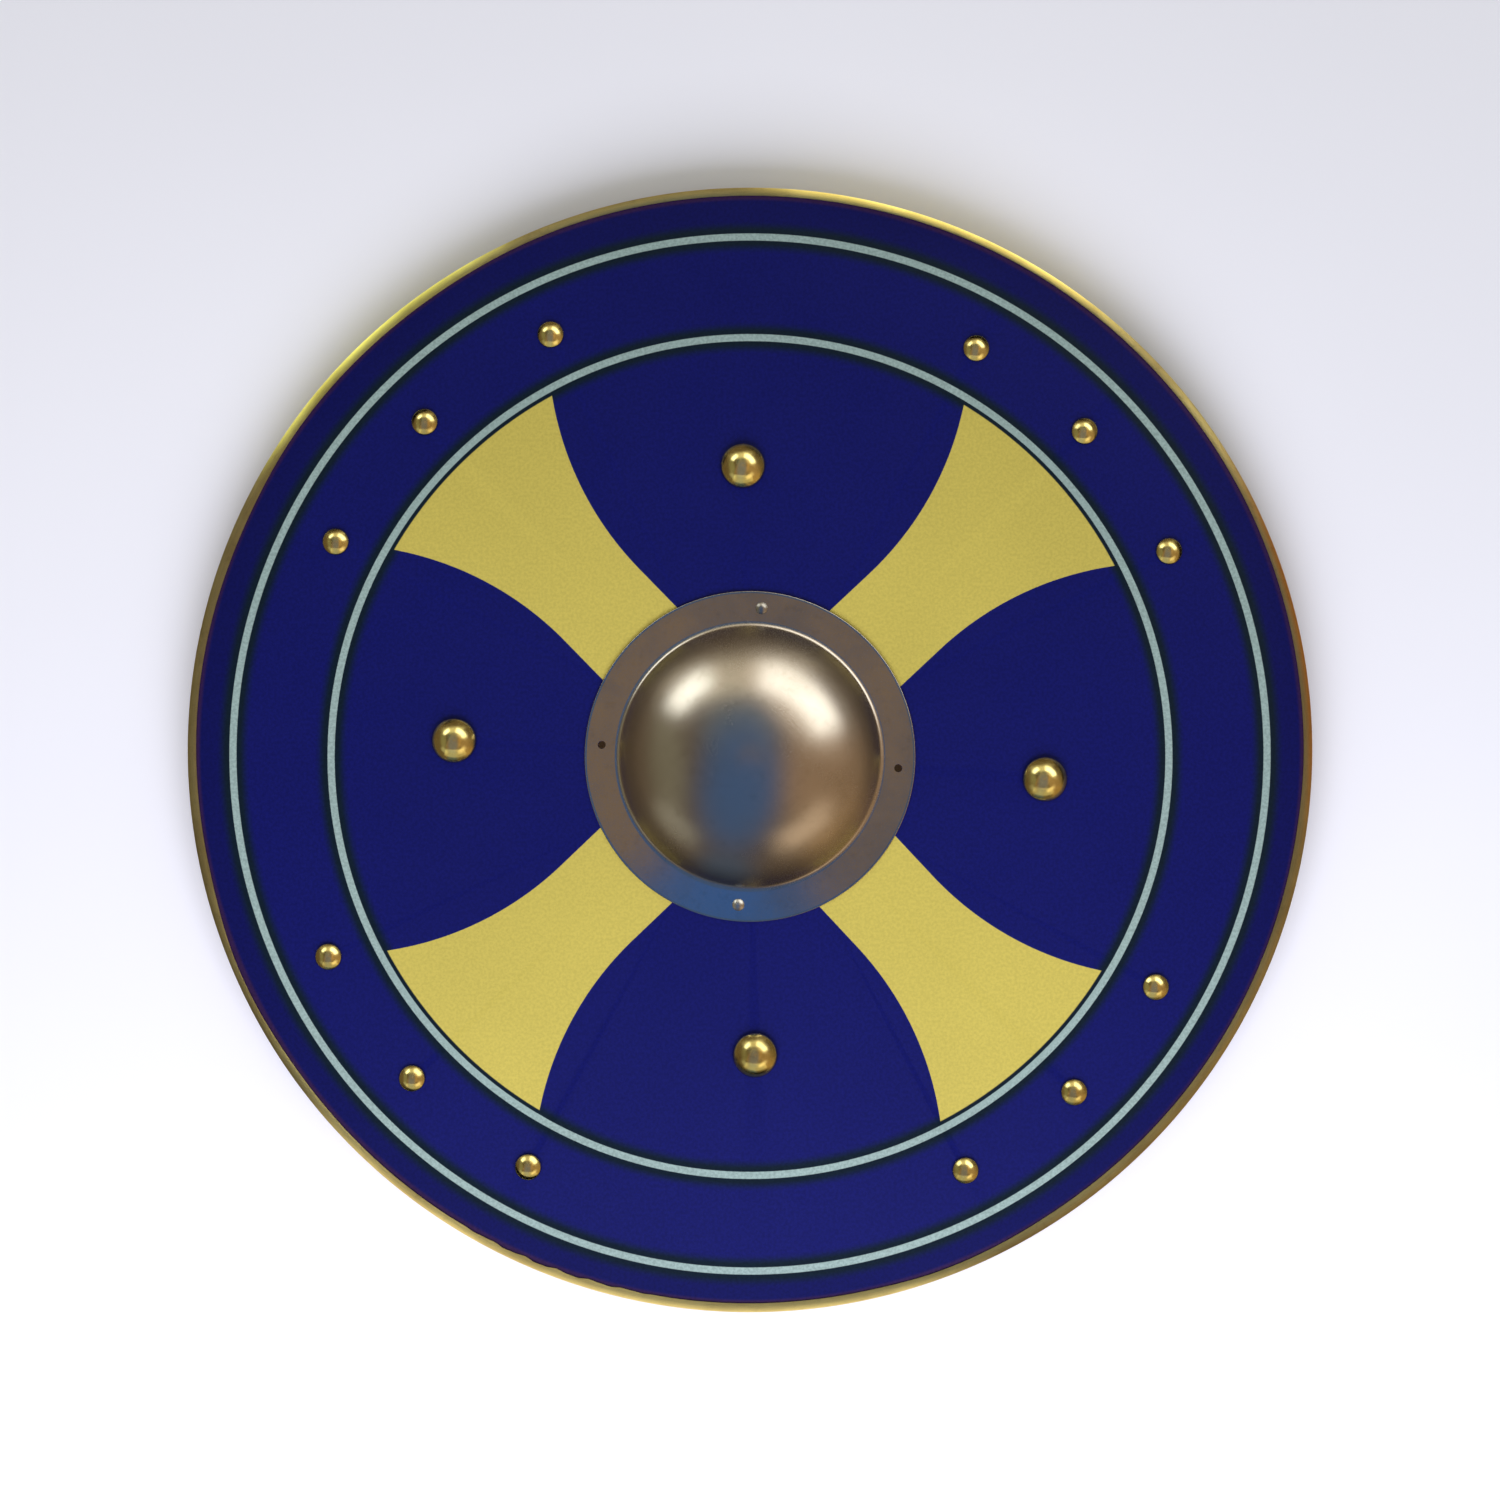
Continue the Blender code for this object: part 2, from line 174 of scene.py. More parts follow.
# The tent that the metal reflects: its own dim light, then soft panels as (azimuth, distance,
# half length, half width, turn, softness, light) and lamps as (azimuth, half angle, distance,
# half width, light), with distances as tent_finish tells
TENT_ROOM = (0.14, 0.098, 0.06)
TENT_PANELS = (
    (322, 0.61, 0.15, 0.22, 322, 0.6, (0.44, 0.27, 0.12)),
    (345, 0.38, 0.25, 0.28, 345, 0.5, (0.38, 0.245, 0.14)),
    (98, 0.435, 0.36, 0.108, 8, 0.5, (0.78, 0.68, 0.50)),
    (48, 0.36, 0.28, 0.10, 138, 0.6, (0.82, 0.64, 0.48)),
    (185, 0.45, 0.30, 0.095, 95, 0.5, (0.25, 0.225, 0.15)),
    (115, 0.14, 0.19, 0.19, 0, 0.55, (0.14, 0.185, 0.225)),
    (251, 0.17, 0.36, 0.22, 83, 0.45, (0.072, 0.138, 0.29)),
    (258, 0.64, 0.09, 0.17, 258, 0.5, (0.085, 0.115, 0.165)),
)
TENT_LAMPS = (
    (133, 13, 0.490, 0.055, (2.5, 2.5, 2.3)),
    (50, 31, 0.446, 0.082, (2.5, 2.4, 2.2)),
    (307, 19, 0.50, 0.055, (0.85, 0.63, 0.42)),
    (222, 11, 0.555, 0.050, (0.42, 0.39, 0.30)),
)
# The ring of the tent that the flange reflects: distance, half width, light, and the cool part
# as azimuth, half angle and light
TENT_RING = (0.0408, 0.011, (0.27, 0.19, 0.12), 262, 29, (0.06, 0.155, 0.44))
# The low card ring round the shield, for its edging only: radius and height, then its lit and dim
# stretches as azimuth, half angle and light. It is clear elsewhere
CARD_RADIUS = 0.305
CARD_HEIGHT = 0.045
CARD_LIGHTS = (
    (257, 32, (1.50, 1.38, 1.25)), (69, 14, (2.40, 2.25, 1.40)), (133, 11, (1.75, 1.95, 1.00)),
    (12, 15, (0.36, 0.13, 0.02)),
)
SECTOR_SOFTNESS = 9.0
# The pale surroundings: half the floor's width, its own light far out, and the background
FLOOR_HALF_WIDTH = 12.0
FAR_FLOOR_GLOW = 0.48
BACKGROUND = 0.90

# Azimuths of the yellow arms' middle lines, in degrees
ARM_AZIMUTHS = (43.15, 134.3, 223.7, 313.1)


def screen_colour(red, green, blue):
    """A colour as it shows on a screen, 0 to 255, in the shader's linear values."""
    values = []
    for value in (red, green, blue):
        share = value / 255.0
        values.append(share / 12.92 if share <= 0.04045 else ((share + 0.055) / 1.055) ** 2.4)
    return tuple(values)


def length_property(name, description, default):
    return FloatProperty(
        name=name, description=description, default=default, min=0.0, unit="LENGTH", precision=5
    )


def colour_property(name, description, default):
    return FloatVectorProperty(
        name=name, description=description, default=default, min=0.0, max=1.0, subtype="COLOR"
    )


def share_property(name, description, default):
    return FloatProperty(
        name=name, description=description, default=default, min=0.0, max=1.0, subtype="FACTOR"
    )


def power_property(name, description, default):
    return FloatProperty(name=name, description=description, default=default, min=0.0)


class ShieldPaint(PropertyGroup):
    """Sizes and colours of the painted face."""

    blue: colour_property("Blue", "Ground colour of the face", screen_colour(13, 17, 85))
    yellow: colour_property("Yellow", "Colour of the four arms", screen_colour(190, 174, 80))
    ring: colour_property("Ring", "Colour of the two rings", screen_colour(142, 163, 153))
    outline: colour_property("Outline", "Colour beside the rings", screen_colour(12, 26, 36))
    outer_ring_radius: length_property("Outer ring", "Radius of the outer ring", 0.2708)
    inner_ring_radius: length_property("Inner ring", "Radius of the inner ring", 0.2194)
    ring_width: length_property("Ring width", "Width of both rings", 0.0037)
    outline_width: length_property("Outline width", "Full dark beside a ring", 0.0014)
    outline_fade: length_property("Outline fade", "Where the dark fades out", 0.0056)
    outer_band: share_property("Outer band", "How bright the blue is beyond the outer ring", 0.76)
    # Seam beside the edging: partly dirt, partly painted contact shade and a painted reflection of the
    # brass
    seam: colour_property("Seam", "Dirt on the paint along the edging", screen_colour(52, 28, 56))
    seam_dirt_and_shade_reach: length_property("Seam reach", "Radius from which the seam's dirt shows", 0.2872)
    outer_ring_drop: length_property("Outer ring drop", "Below the board's centre", 0.0021)
    arm_half_width: length_property("Arm half width", "At the boss", 0.0271)
    arm_straight: length_property("Arm straight", "Length before it flares", 0.111)
    arm_flare: length_property("Arm flare", "Radius of the flaring sides", 0.1676)
    roughness: share_property("Roughness", "Gloss of the paint", 0.42)
    shine: share_property("Shine", "Strength of the paint's reflection", 0.12)


class ShieldMetal(PropertyGroup):
    """Sizes and colours of the brass and the steel."""

    rim_brass: colour_property("Edging", "Brass of the edging", (0.81, 0.68, 0.27))
    stud_brass: colour_property("Studs", "Pale brass of the studs", (0.86, 0.77, 0.31))
    washer_brass: colour_property("Washers", "Brass of the washers", (0.78, 0.62, 0.30))
    steel: colour_property("Boss", "Warm grey steel of the boss", (0.60, 0.56, 0.50))
    nail_steel: colour_property("Nails", "Bright steel of the nails", (0.74, 0.75, 0.72))
    nail_dulling: share_property("Nail dulling", "How much duller the upper nail is", 0.65)
    rim_roughness: share_property("Edging roughness", "Gloss of the edging", 0.50)
    stud_roughness: share_property("Stud roughness", "Gloss of the studs", 0.16)
    rim_drawing: share_property("Edging lines", "How far its shine smears across the strip", 0.93)
    steel_roughness: share_property("Boss roughness", "Gloss of the dome", 0.24)
    flange_roughness: share_property("Flange roughness", "Gloss of the flange", 0.08)
    # Strength of the painted dark reflection round the dome's foot, darkening its base colour
    painted_foot_reflection: share_property("Patina", "Darkening of the dome round its foot", 0.45)
    sheet: length_property("Edging sheet", "Thickness of the brass strip", 0.0006)
    lip_width: length_property("Lip width", "Reach of the strip over the face", 0.0050)
    lip_crown: length_property("Lip crown", "From the lip's edge to its highest line", 0.0014)
    lip_slope: FloatProperty(
        name="Lip slope", description="How far the lip's edge leans inwards",
        default=math.radians(20.0), subtype="ANGLE", unit="ROTATION",
    )
    boss_sheet: length_property("Boss sheet", "Thickness of the steel", 0.0015)
    dome_foot: length_property("Dome foot", "Radius where the dome meets the flange", 0.069)
    dome_fillet: length_property("Dome fillet", "Radius of the hollow fillet", 0.004)


class ShieldWood(PropertyGroup):
    """Colours and sizes of the bare wood."""

    board_light: colour_property("Board light", "Pale grain of the back", (0.58, 0.41, 0.23))
    board_dark: colour_property("Board dark", "Dark grain of the back", (0.40, 0.25, 0.12))
    grip_light: colour_property("Grip light", "Pale grain of the grip", (0.50, 0.32, 0.16))
    grip_dark: colour_property("Grip dark", "Dark grain of the grip", (0.27, 0.14, 0.06))
    grip_width: length_property("Grip width", "Width of the bar", 0.030)
    grip_end: length_property("Grip end", "Thickness of the bar's ends", 0.007)
    grip_ramp: length_property("Grip ramp", "Length of the slope to the ends", 0.034)
    hand_hole: length_property("Hand hole", "Radius of the hole in the board", 0.062)


class ShieldStage(PropertyGroup):
    """The camera's place and the strength of the lights."""

    camera_height: length_property("Camera height", "Height over the board's face", 1.40)
    frame_width: length_property("Frame width", "Width seen at the board's face", 0.7856)
    tent_radius: length_property("Tent radius", "Radius of the tent that metal reflects", 3.0)
    tent: power_property("Tent", "Strength of the tent's light", 1.0)
    room: power_property("Room", "Strength of the even light on paint and wood", 0.355)
    overhead: power_property("Overhead lamp", "Radiance of the broad lamp above", 0.50)
    near_side: power_property("Near lamp", "Radiance of the lamp on the near side", 3.9)
    crown: power_property("Crown lamp", "Radiance of the warm lamp that the studs' tops show", 0.14)
    shoulder: power_property("Shoulder lamp", "Radiance of the lamp in the studs' near sides", 0.36)


class Recipe:
    """Nodes of one material, added and linked by short calls."""

    def __init__(self, tree):
        self.tree = tree
        coordinates = tree.nodes.new("ShaderNodeTexCoord")
        self.coordinates = coordinates.outputs["Object"]
        split = tree.nodes.new("ShaderNodeSeparateXYZ")
        tree.links.new(self.coordinates, split.inputs[0])
        self.x, self.y, self.z = split.outputs

    def feed(self, socket, value):
        if isinstance(value, bpy.types.NodeSocket):
            self.tree.links.new(value, socket)
        else:
            socket.default_value = value

    def calc(self, operation, *values):
        node = self.tree.nodes.new("ShaderNodeMath")
        node.operation = operation
        for socket, value in zip(node.inputs, values):
            self.feed(socket, value)
        return node.outputs[0]

    def vector(self, x, y, z):
        node = self.tree.nodes.new("ShaderNodeCombineXYZ")
        for socket, value in zip(node.inputs, (x, y, z)):
            self.feed(socket, value)
        return node.outputs[0]

    def stretched(self, scales, turned):
        """Object coordinates turned about Z and then stretched along each axis."""
        node = self.tree.nodes.new("ShaderNodeMapping")
        node.inputs["Rotation"].default_value = (0.0, 0.0, turned)
        self.tree.links.new(self.coordinates, node.inputs["Vector"])
        stretch = self.tree.nodes.new("ShaderNodeVectorMath")
        stretch.operation = "MULTIPLY"
        self.tree.links.new(node.outputs[0], stretch.inputs[0])
        stretch.inputs[1].default_value = scales
        return stretch.outputs[0]

    def noise(self, vector, scale, detail=3.0, roughness=0.5, distortion=0.0):
        node = self.tree.nodes.new("ShaderNodeTexNoise")
        self.feed(node.inputs["Vector"], vector)
        node.inputs["Scale"].default_value = scale
        node.inputs["Detail"].default_value = detail
        node.inputs["Roughness"].default_value = roughness
        node.inputs["Distortion"].default_value = distortion
        return node.outputs[0]

    def span(self, value, low, high, to_low=0.0, to_high=1.0):
        """Maps a value smoothly from one range to another and stops at both ends."""
        node = self.tree.nodes.new("ShaderNodeMapRange")
        node.interpolation_type = "SMOOTHSTEP"
        for socket, number in zip(node.inputs, (value, low, high, to_low, to_high)):
            self.feed(socket, number)
        return node.outputs[0]

    def mix(self, factor, first, second):
        node = self.tree.nodes.new("ShaderNodeMix")
        node.data_type = "RGBA"
        self.feed(node.inputs[0], factor)
        for socket, colour in zip(node.inputs[6:8], (first, second)):
            self.feed(socket, colour if isinstance(colour, bpy.types.NodeSocket) else (*colour, 1.0))
        return node.outputs[2]

    def shade(self, colour, value):
        """A colour made lighter or darker by a value around 1."""
        node = self.tree.nodes.new("ShaderNodeVectorMath")
        node.operation = "SCALE"
        self.feed(node.inputs[0], colour)
        self.feed(node.inputs["Scale"], value)
        return node.outputs[0]

    def distance(self, across, up):
        return self.calc(
            "SQRT", self.calc("ADD", self.calc("POWER", across, 2.0), self.calc("POWER", up, 2.0))
        )

    def sector(self, across, up, azimuth, half_angle):
        """1 within an angle on both sides of an azimuth, with soft sides."""
        turn_angle = math.radians(azimuth)
        towards = self.calc(
            "DIVIDE",
            self.calc(
                "ADD",
                self.calc("MULTIPLY", across, math.cos(turn_angle)),
                self.calc("MULTIPLY", up, math.sin(turn_angle)),
            ),
            self.calc("MAXIMUM", self.distance(across, up), 0.001),
        )
        outer = math.cos(math.radians(half_angle + SECTOR_SOFTNESS))
        return self.span(towards, outer, math.cos(math.radians(half_angle - SECTOR_SOFTNESS)))

    def bump(self, height, depth, normal=None):
        node = self.tree.nodes.new("ShaderNodeBump")
        node.inputs["Strength"].default_value = 1.0
        node.inputs["Distance"].default_value = depth
        self.feed(node.inputs["Height"], height)
        if normal:
            self.feed(node.inputs["Normal"], normal)
        return node.outputs[0]


class Finish(Recipe):
    """The recipe of a Principled material."""

    def __init__(self, name, metallic, roughness):
        self.material = bpy.data.materials.new(name)
        self.material.use_nodes = True
        super().__init__(self.material.node_tree)
        self.shader = self.material.node_tree.nodes["Principled BSDF"]
        self.shader.inputs["Metallic"].default_value = metallic
        self.shader.inputs["Roughness"].default_value = roughness

    def set(self, name, value):
        self.feed(self.shader.inputs[name], value)


def arm_mask(finish, paint, azimuth, across, up):
    """1 on one yellow arm: straight sides that flare outwards past a given length."""
    turned = math.radians(azimuth)
    along = finish.calc(
        "ADD",
        finish.calc("MULTIPLY", across, math.cos(turned)),
        finish.calc("MULTIPLY", up, math.sin(turned)),
    )
    aside = finish.calc(
        "SUBTRACT",
        finish.calc("MULTIPLY", up, math.cos(turned)),
        finish.calc("MULTIPLY", across, math.sin(turned)),
    )
    flared = finish.calc("MAXIMUM", finish.calc("SUBTRACT", along, paint.arm_straight), 0.0)
    reach = finish.calc("SUBTRACT", paint.arm_flare**2, finish.calc("POWER", flared, 2.0))
    side = finish.calc("SQRT", finish.calc("MAXIMUM", reach, 0.0))
    edge = finish.calc("SUBTRACT", paint.arm_half_width + paint.arm_flare, side)
    inside = finish.calc("SUBTRACT", edge, finish.calc("ABSOLUTE", aside))
    ahead = finish.calc("GREATER_THAN", along, 0.0)
    return finish.calc("MULTIPLY", finish.span(inside, -0.0002, 0.0002), ahead)


def paint_finish(paint):
    """Satin paint: blue ground, four yellow arms and two light rings with dark outlines."""
    finish = Finish("painted_face", 0.0, paint.roughness)
    up = finish.calc("SUBTRACT", finish.y, BOSS_CENTRE.y)
    inner = finish.distance(finish.x, up)
    outer = finish.distance(finish.x, finish.calc("ADD", finish.y, paint.outer_ring_drop))
    arms = 0.0
    for azimuth in ARM_AZIMUTHS:
        arms = finish.calc("MAXIMUM", arms, arm_mask(finish, paint, azimuth, finish.x, up))
    within = finish.calc("LESS_THAN", inner, paint.inner_ring_radius)
    arms = finish.calc("MULTIPLY", arms, within)
    beyond = finish.span(outer, paint.outer_ring_radius, paint.outer_ring_radius + 0.006)
    ground = finish.shade(paint.blue, finish.span(beyond, 0.0, 1.0, 1.0, paint.outer_band))
    colour = finish.mix(arms, ground, paint.yellow)
    half = paint.ring_width / 2
    dark_end = half + paint.outline_width
    for radius, distance in ((paint.inner_ring_radius, inner), (paint.outer_ring_radius, outer)):
        away = finish.calc("ABSOLUTE", finish.calc("SUBTRACT", distance, radius))
        dark = finish.span(away, dark_end, dark_end + paint.outline_fade, 1.0, 0.0)
        sharp = finish.span(away, dark_end + 0.0003, dark_end + 0.0010, 1.0, 0.0)
        dark = finish.mix(arms, finish.vector(dark, dark, dark), finish.vector(sharp, sharp, sharp))
        colour = finish.mix(dark, colour, paint.outline)
        band = finish.span(away, half - 0.0002, half + 0.0002, 1.0, 0.0)
        colour = finish.mix(band, colour, paint.ring)
    # Darker band inside the edging's lip: partly dirt, partly painted contact shade under the lip and a
    # painted reflection of the brass
    edge = finish.distance(finish.x, finish.y)
    seam = finish.span(edge, paint.seam_dirt_and_shade_reach, paint.seam_dirt_and_shade_reach + 0.0022)
    colour = finish.mix(finish.calc("MULTIPLY", seam, SEAM_DIRT_AND_SHADE_STRENGTH), colour, paint.seam)
    broad = finish.noise(finish.coordinates, 9.0, 2.0)
    speckle = finish.noise(finish.coordinates, 650.0, 2.0, 0.6)
    spread = finish.span(arms, 0.0, 1.0, 0.15, 0.07)
    tone = finish.calc(
        "MULTIPLY",
        finish.span(broad, 0.25, 0.75, 0.96, 1.04),
        finish.calc("MULTIPLY_ADD", finish.span(speckle, 0.3, 0.7, -1.0, 1.0), spread, 1.0),
    )
    finish.set("Base Color", finish.shade(colour, tone))
    finish.set("Specular IOR Level", paint.shine)
    worn = finish.noise(finish.coordinates, 30.0, 3.0)
    finish.set("Roughness", finish.span(worn, 0.3, 0.7, paint.roughness - 0.04, paint.roughness + 0.05))
    weave = finish.noise(finish.coordinates, 1100.0, 2.0, 0.6)
    finish.set("Normal", finish.bump(weave, 0.00004))
    return finish.material


def wood_finish(name, light, dark, grain_turn, plies):
    """Bare sanded wood with long grain, and glued plies on its cut edges where asked."""
    finish = Finish(name, 0.0, 0.55)
    waves = finish.noise(finish.stretched((5.0, 55.0, 20.0), grain_turn), 1.0, 4.0, 0.55, 1.6)
    fibres = finish.noise(finish.stretched((50.0, 1500.0, 900.0), grain_turn), 1.0, 3.0, 0.6)
    pores = finish.noise(finish.stretched((120.0, 2600.0, 1500.0), grain_turn), 1.0, 1.0, 0.5)
    blend = finish.calc(
        "ADD",
        finish.calc("MULTIPLY", finish.span(waves, 0.35, 0.68), 0.7),
        finish.calc("MULTIPLY", finish.span(fibres, 0.3, 0.7), 0.3),
    )
    colour = finish.mix(blend, light, dark)
    colour = finish.mix(finish.span(pores, 0.64, 0.72, 0.0, 0.45), colour, tuple(c * 0.4 for c in dark))
    if plies:
        ply = (BOARD_HIGH.z - BOARD_LOW.z) / plies
        depth = finish.calc("DIVIDE", finish.calc("SUBTRACT", finish.z, BOARD_LOW.z), 2 * ply)
        fold = finish.calc("ABSOLUTE", finish.calc("SUBTRACT", finish.calc("FRACT", depth), 0.5))
        inside = finish.calc(
            "MULTIPLY",
            finish.calc("GREATER_THAN", finish.z, BOARD_LOW.z + 0.0005),
            finish.span(fold, 0.21, 0.29),
        )
        colour = finish.mix(finish.calc("MULTIPLY", inside, 0.75), colour, tuple(c * 0.55 for c in dark))
    soil = finish.noise(finish.coordinates, 14.0, 3.0)
    finish.set("Base Color", finish.shade(colour, finish.span(soil, 0.3, 0.75, 1.04, 0.90)))
    finish.set("Roughness", finish.span(fibres, 0.3, 0.7, 0.5, 0.66))
    finish.set("Normal", finish.bump(fibres, 0.00006, finish.bump(pores, 0.00003)))
    return finish.material


class Metal(Finish):
    """Metal with a cloudy film of tarnish, fine marks and a slightly uneven surface."""

    def __init__(self, name, colour, tarnish, roughness, spread, scale, unevenness):
        super().__init__(name, 1.0, roughness)
        clouds = self.noise(self.coordinates, scale, 4.0, 0.6)
        spots = self.noise(self.coordinates, scale * 11.0, 3.0, 0.65)
        marks = self.noise(self.coordinates, 2400.0, 2.0, 0.6)
        film = self.calc(
            "ADD", self.span(clouds, 0.42, 0.72, 0.0, 0.55), self.span(spots, 0.52, 0.74, 0.0, 0.30)
        )
        self.tone = self.shade(self.mix(film, colour, tarnish), self.span(marks, 0.25, 0.75, 0.95, 1.05))
        self.gloss = self.calc(
            "ADD",
            self.span(clouds, 0.35, 0.7, roughness - spread, roughness + spread),
            self.span(marks, 0.3, 0.7, -0.02, 0.03),
        )
        swell = self.noise(self.coordinates, scale * 0.7, 2.0)
        self.relief = self.bump(marks, 0.000004, self.bump(swell, unevenness))

    def done(self):
        self.set("Base Color", self.tone)
        self.set("Roughness", self.gloss)
        self.set("Normal", self.relief)
        return self.material


def edging_finish(metal):
    """Brass strip with fine lines along it from drawing, which smear its shine across them."""
    finish = Metal(
        "edging_brass", metal.rim_brass, EDGING_TARNISH, metal.rim_roughness, 0.04, 16.0, 0.00035
    )
    across = finish.distance(finish.x, finish.y)
    turned = finish.vector(
        finish.calc("MULTIPLY", across, 2600.0),
        finish.calc("MULTIPLY", finish.calc("DIVIDE", finish.x, across), 24.0),
        finish.calc("MULTIPLY", finish.calc("DIVIDE", finish.y, across), 24.0),
    )
    lines = finish.noise(turned, 1.0, 3.0, 0.6)
    finish.tone = finish.shade(finish.tone, finish.span(lines, 0.25, 0.75, 0.93, 1.07))
    finish.set("Anisotropic", metal.rim_drawing)
    finish.set("Tangent", finish.vector(finish.x, finish.y, 0.0))
    return finish.done()


def boss_finish(metal):
    """Warm grey steel: a satin dome whose base colour darkens round its foot, a painted dark
    reflection of the surroundings, and a smoother flange."""
    finish = Metal(
        "boss_steel", metal.steel, BOSS_TARNISH, metal.steel_roughness, 0.02, 18.0, 0.00008
    )
    away = finish.distance(
        finish.calc("SUBTRACT", finish.x, BOSS_CENTRE.x), finish.calc("SUBTRACT", finish.y, BOSS_CENTRE.y)
    )
    foot = metal.dome_foot
    # A band round the dome's foot gets a darker base colour: a painted dark reflection of the
    # surroundings
    painted_foot_reflection = finish.calc(
        "MULTIPLY",
        finish.span(away, foot - 0.013, foot - 0.005),
        finish.span(away, foot - 0.0020, foot - 0.0005, 1.0, 0.0),
    )
    finish.tone = finish.mix(
        finish.calc("MULTIPLY", painted_foot_reflection, metal.painted_foot_reflection), finish.tone, tuple(c * 0.4 for c in metal.steel)
    )
    flat = finish.calc(
        "MULTIPLY",
        finish.span(away, foot + 0.0012, foot + 0.0020),
        finish.span(away, FLANGE_RADIUS - 0.0009, FLANGE_RADIUS - 0.0005, 1.0, 0.0),
    )
    finish.gloss = finish.calc(
        "SUBTRACT",
        finish.gloss,
        finish.calc("MULTIPLY", flat, metal.steel_roughness - metal.flange_roughness),
    )
    return finish.done()


def arc(centre, radius, start, end, segments):
    """Points on a circle of the turned profile, from one angle to another in degrees."""
    points = []
    for step in range(segments + 1):
        angle = math.radians(start + (end - start) * step / segments)
        points.append((centre[0] + radius * math.cos(angle), centre[1] + radius * math.sin(angle)))
    return points


def turn(points, steps, closed=False):
    """A line of (distance from the axis, height) points turned once round the Z axis."""
    shape = bmesh.new()
    corners = [shape.verts.new((distance, 0.0, height)) for distance, height in points]
    sides = [shape.edges.new(pair) for pair in zip(corners, corners[1:])]
    if closed:
        sides.append(shape.edges.new((corners[-1], corners[0])))
    bmesh.ops.spin(
        shape, geom=corners + sides, cent=(0.0, 0.0, 0.0), axis=(0.0, 0.0, 1.0),
        dvec=(0.0, 0.0, 0.0), angle=math.tau, steps=steps, use_merge=True,
    )
    bmesh.ops.remove_doubles(shape, verts=shape.verts, dist=MERGE_DISTANCE)
    bmesh.ops.recalc_face_normals(shape, faces=shape.faces)
    return shape


def shift(shape, offset):
    bmesh.ops.translate(shape, vec=offset, verts=shape.verts)


def helper_object(name, shape):
    mesh = bpy.data.meshes.new(name)
    shape.to_mesh(mesh)
    shape.free()
    helper = bpy.data.objects.new(name, mesh)
    bpy.context.scene.collection.objects.link(helper)
    return helper


def drill(shape, holes):
    """The shape with straight round holes, each given as (x, y, low, high, radius)."""
    tools = bmesh.new()
    for x, y, low, high, radius in holes:
        made = bmesh.ops.create_cone(
            tools, cap_ends=True, segments=HOLE_SIDES, radius1=radius, radius2=radius,
            depth=high - low,
        )
        bmesh.ops.translate(tools, vec=(x, y, (low + high) / 2), verts=made["verts"])
    blank = helper_object("blank", shape)
    tool = helper_object("drill", tools)
    cut = blank.modifiers.new("drill", "BOOLEAN")
    cut.operation = "DIFFERENCE"
    cut.solver = "EXACT"
    cut.object = tool
    drilled = bmesh.new()
    drilled.from_object(blank, bpy.context.evaluated_depsgraph_get())
    for helper in (blank, tool):
        mesh = helper.data
        bpy.data.objects.remove(helper)
        bpy.data.meshes.remove(mesh)
    return drilled


def add_piece(name, shape, materials, node):
    """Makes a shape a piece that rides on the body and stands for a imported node."""
    if not shape.faces:
        raise RuntimeError(f"{name} has no faces")
    mesh = bpy.data.meshes.new(name)
    shape.to_mesh(mesh)
    shape.free()
    for material in materials:
        mesh.materials.append(material)
    mesh.polygons.foreach_set("use_smooth", [True] * len(mesh.polygons))
    mesh.set_sharp_from_angle(angle=SHARP_ANGLE)
    piece = bpy.data.objects.new(name, mesh)
    bpy.context.scene.collection.objects.link(piece)
    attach(piece, BODY)
    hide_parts(node)
    return piece


def node_place(node):
    """The middle of a node seen from above, and its half width, low and high."""
    low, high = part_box(node)
    middle = (low + high) / 2
    return middle.x, middle.y, (high.y - low.y) / 2, low.z, high.z


def lip_width_at(azimuth):
    """The added width of the lip at an azimuth, eased between the listed ones."""
    knots = (*LIP_WIDTHS, (LIP_WIDTHS[0][0] + 360, LIP_WIDTHS[0][1]))
    for (start, first), (end, second) in zip(knots, knots[1:]):
        if start <= azimuth <= end:
            share = (azimuth - start) / (end - start)
            ease = (1 - math.cos(math.pi * share)) / 2
            return first + (second - first) * ease + scallop_at(azimuth)
    raise ValueError(f"no lip width at {azimuth}")


def scallop_at(azimuth):
    """Small pinched waves in the lip on a short stretch at the lower left."""
    start, end = SCALLOP_AZIMUTHS
    if not start < azimuth < end:
        return 0.0
    fade = math.sin(math.pi * (azimuth - start) / (end - start))
    return sum(
        size * fade * math.sin(math.radians(azimuth * waves)) for size, waves in SCALLOP_WAVES
    )


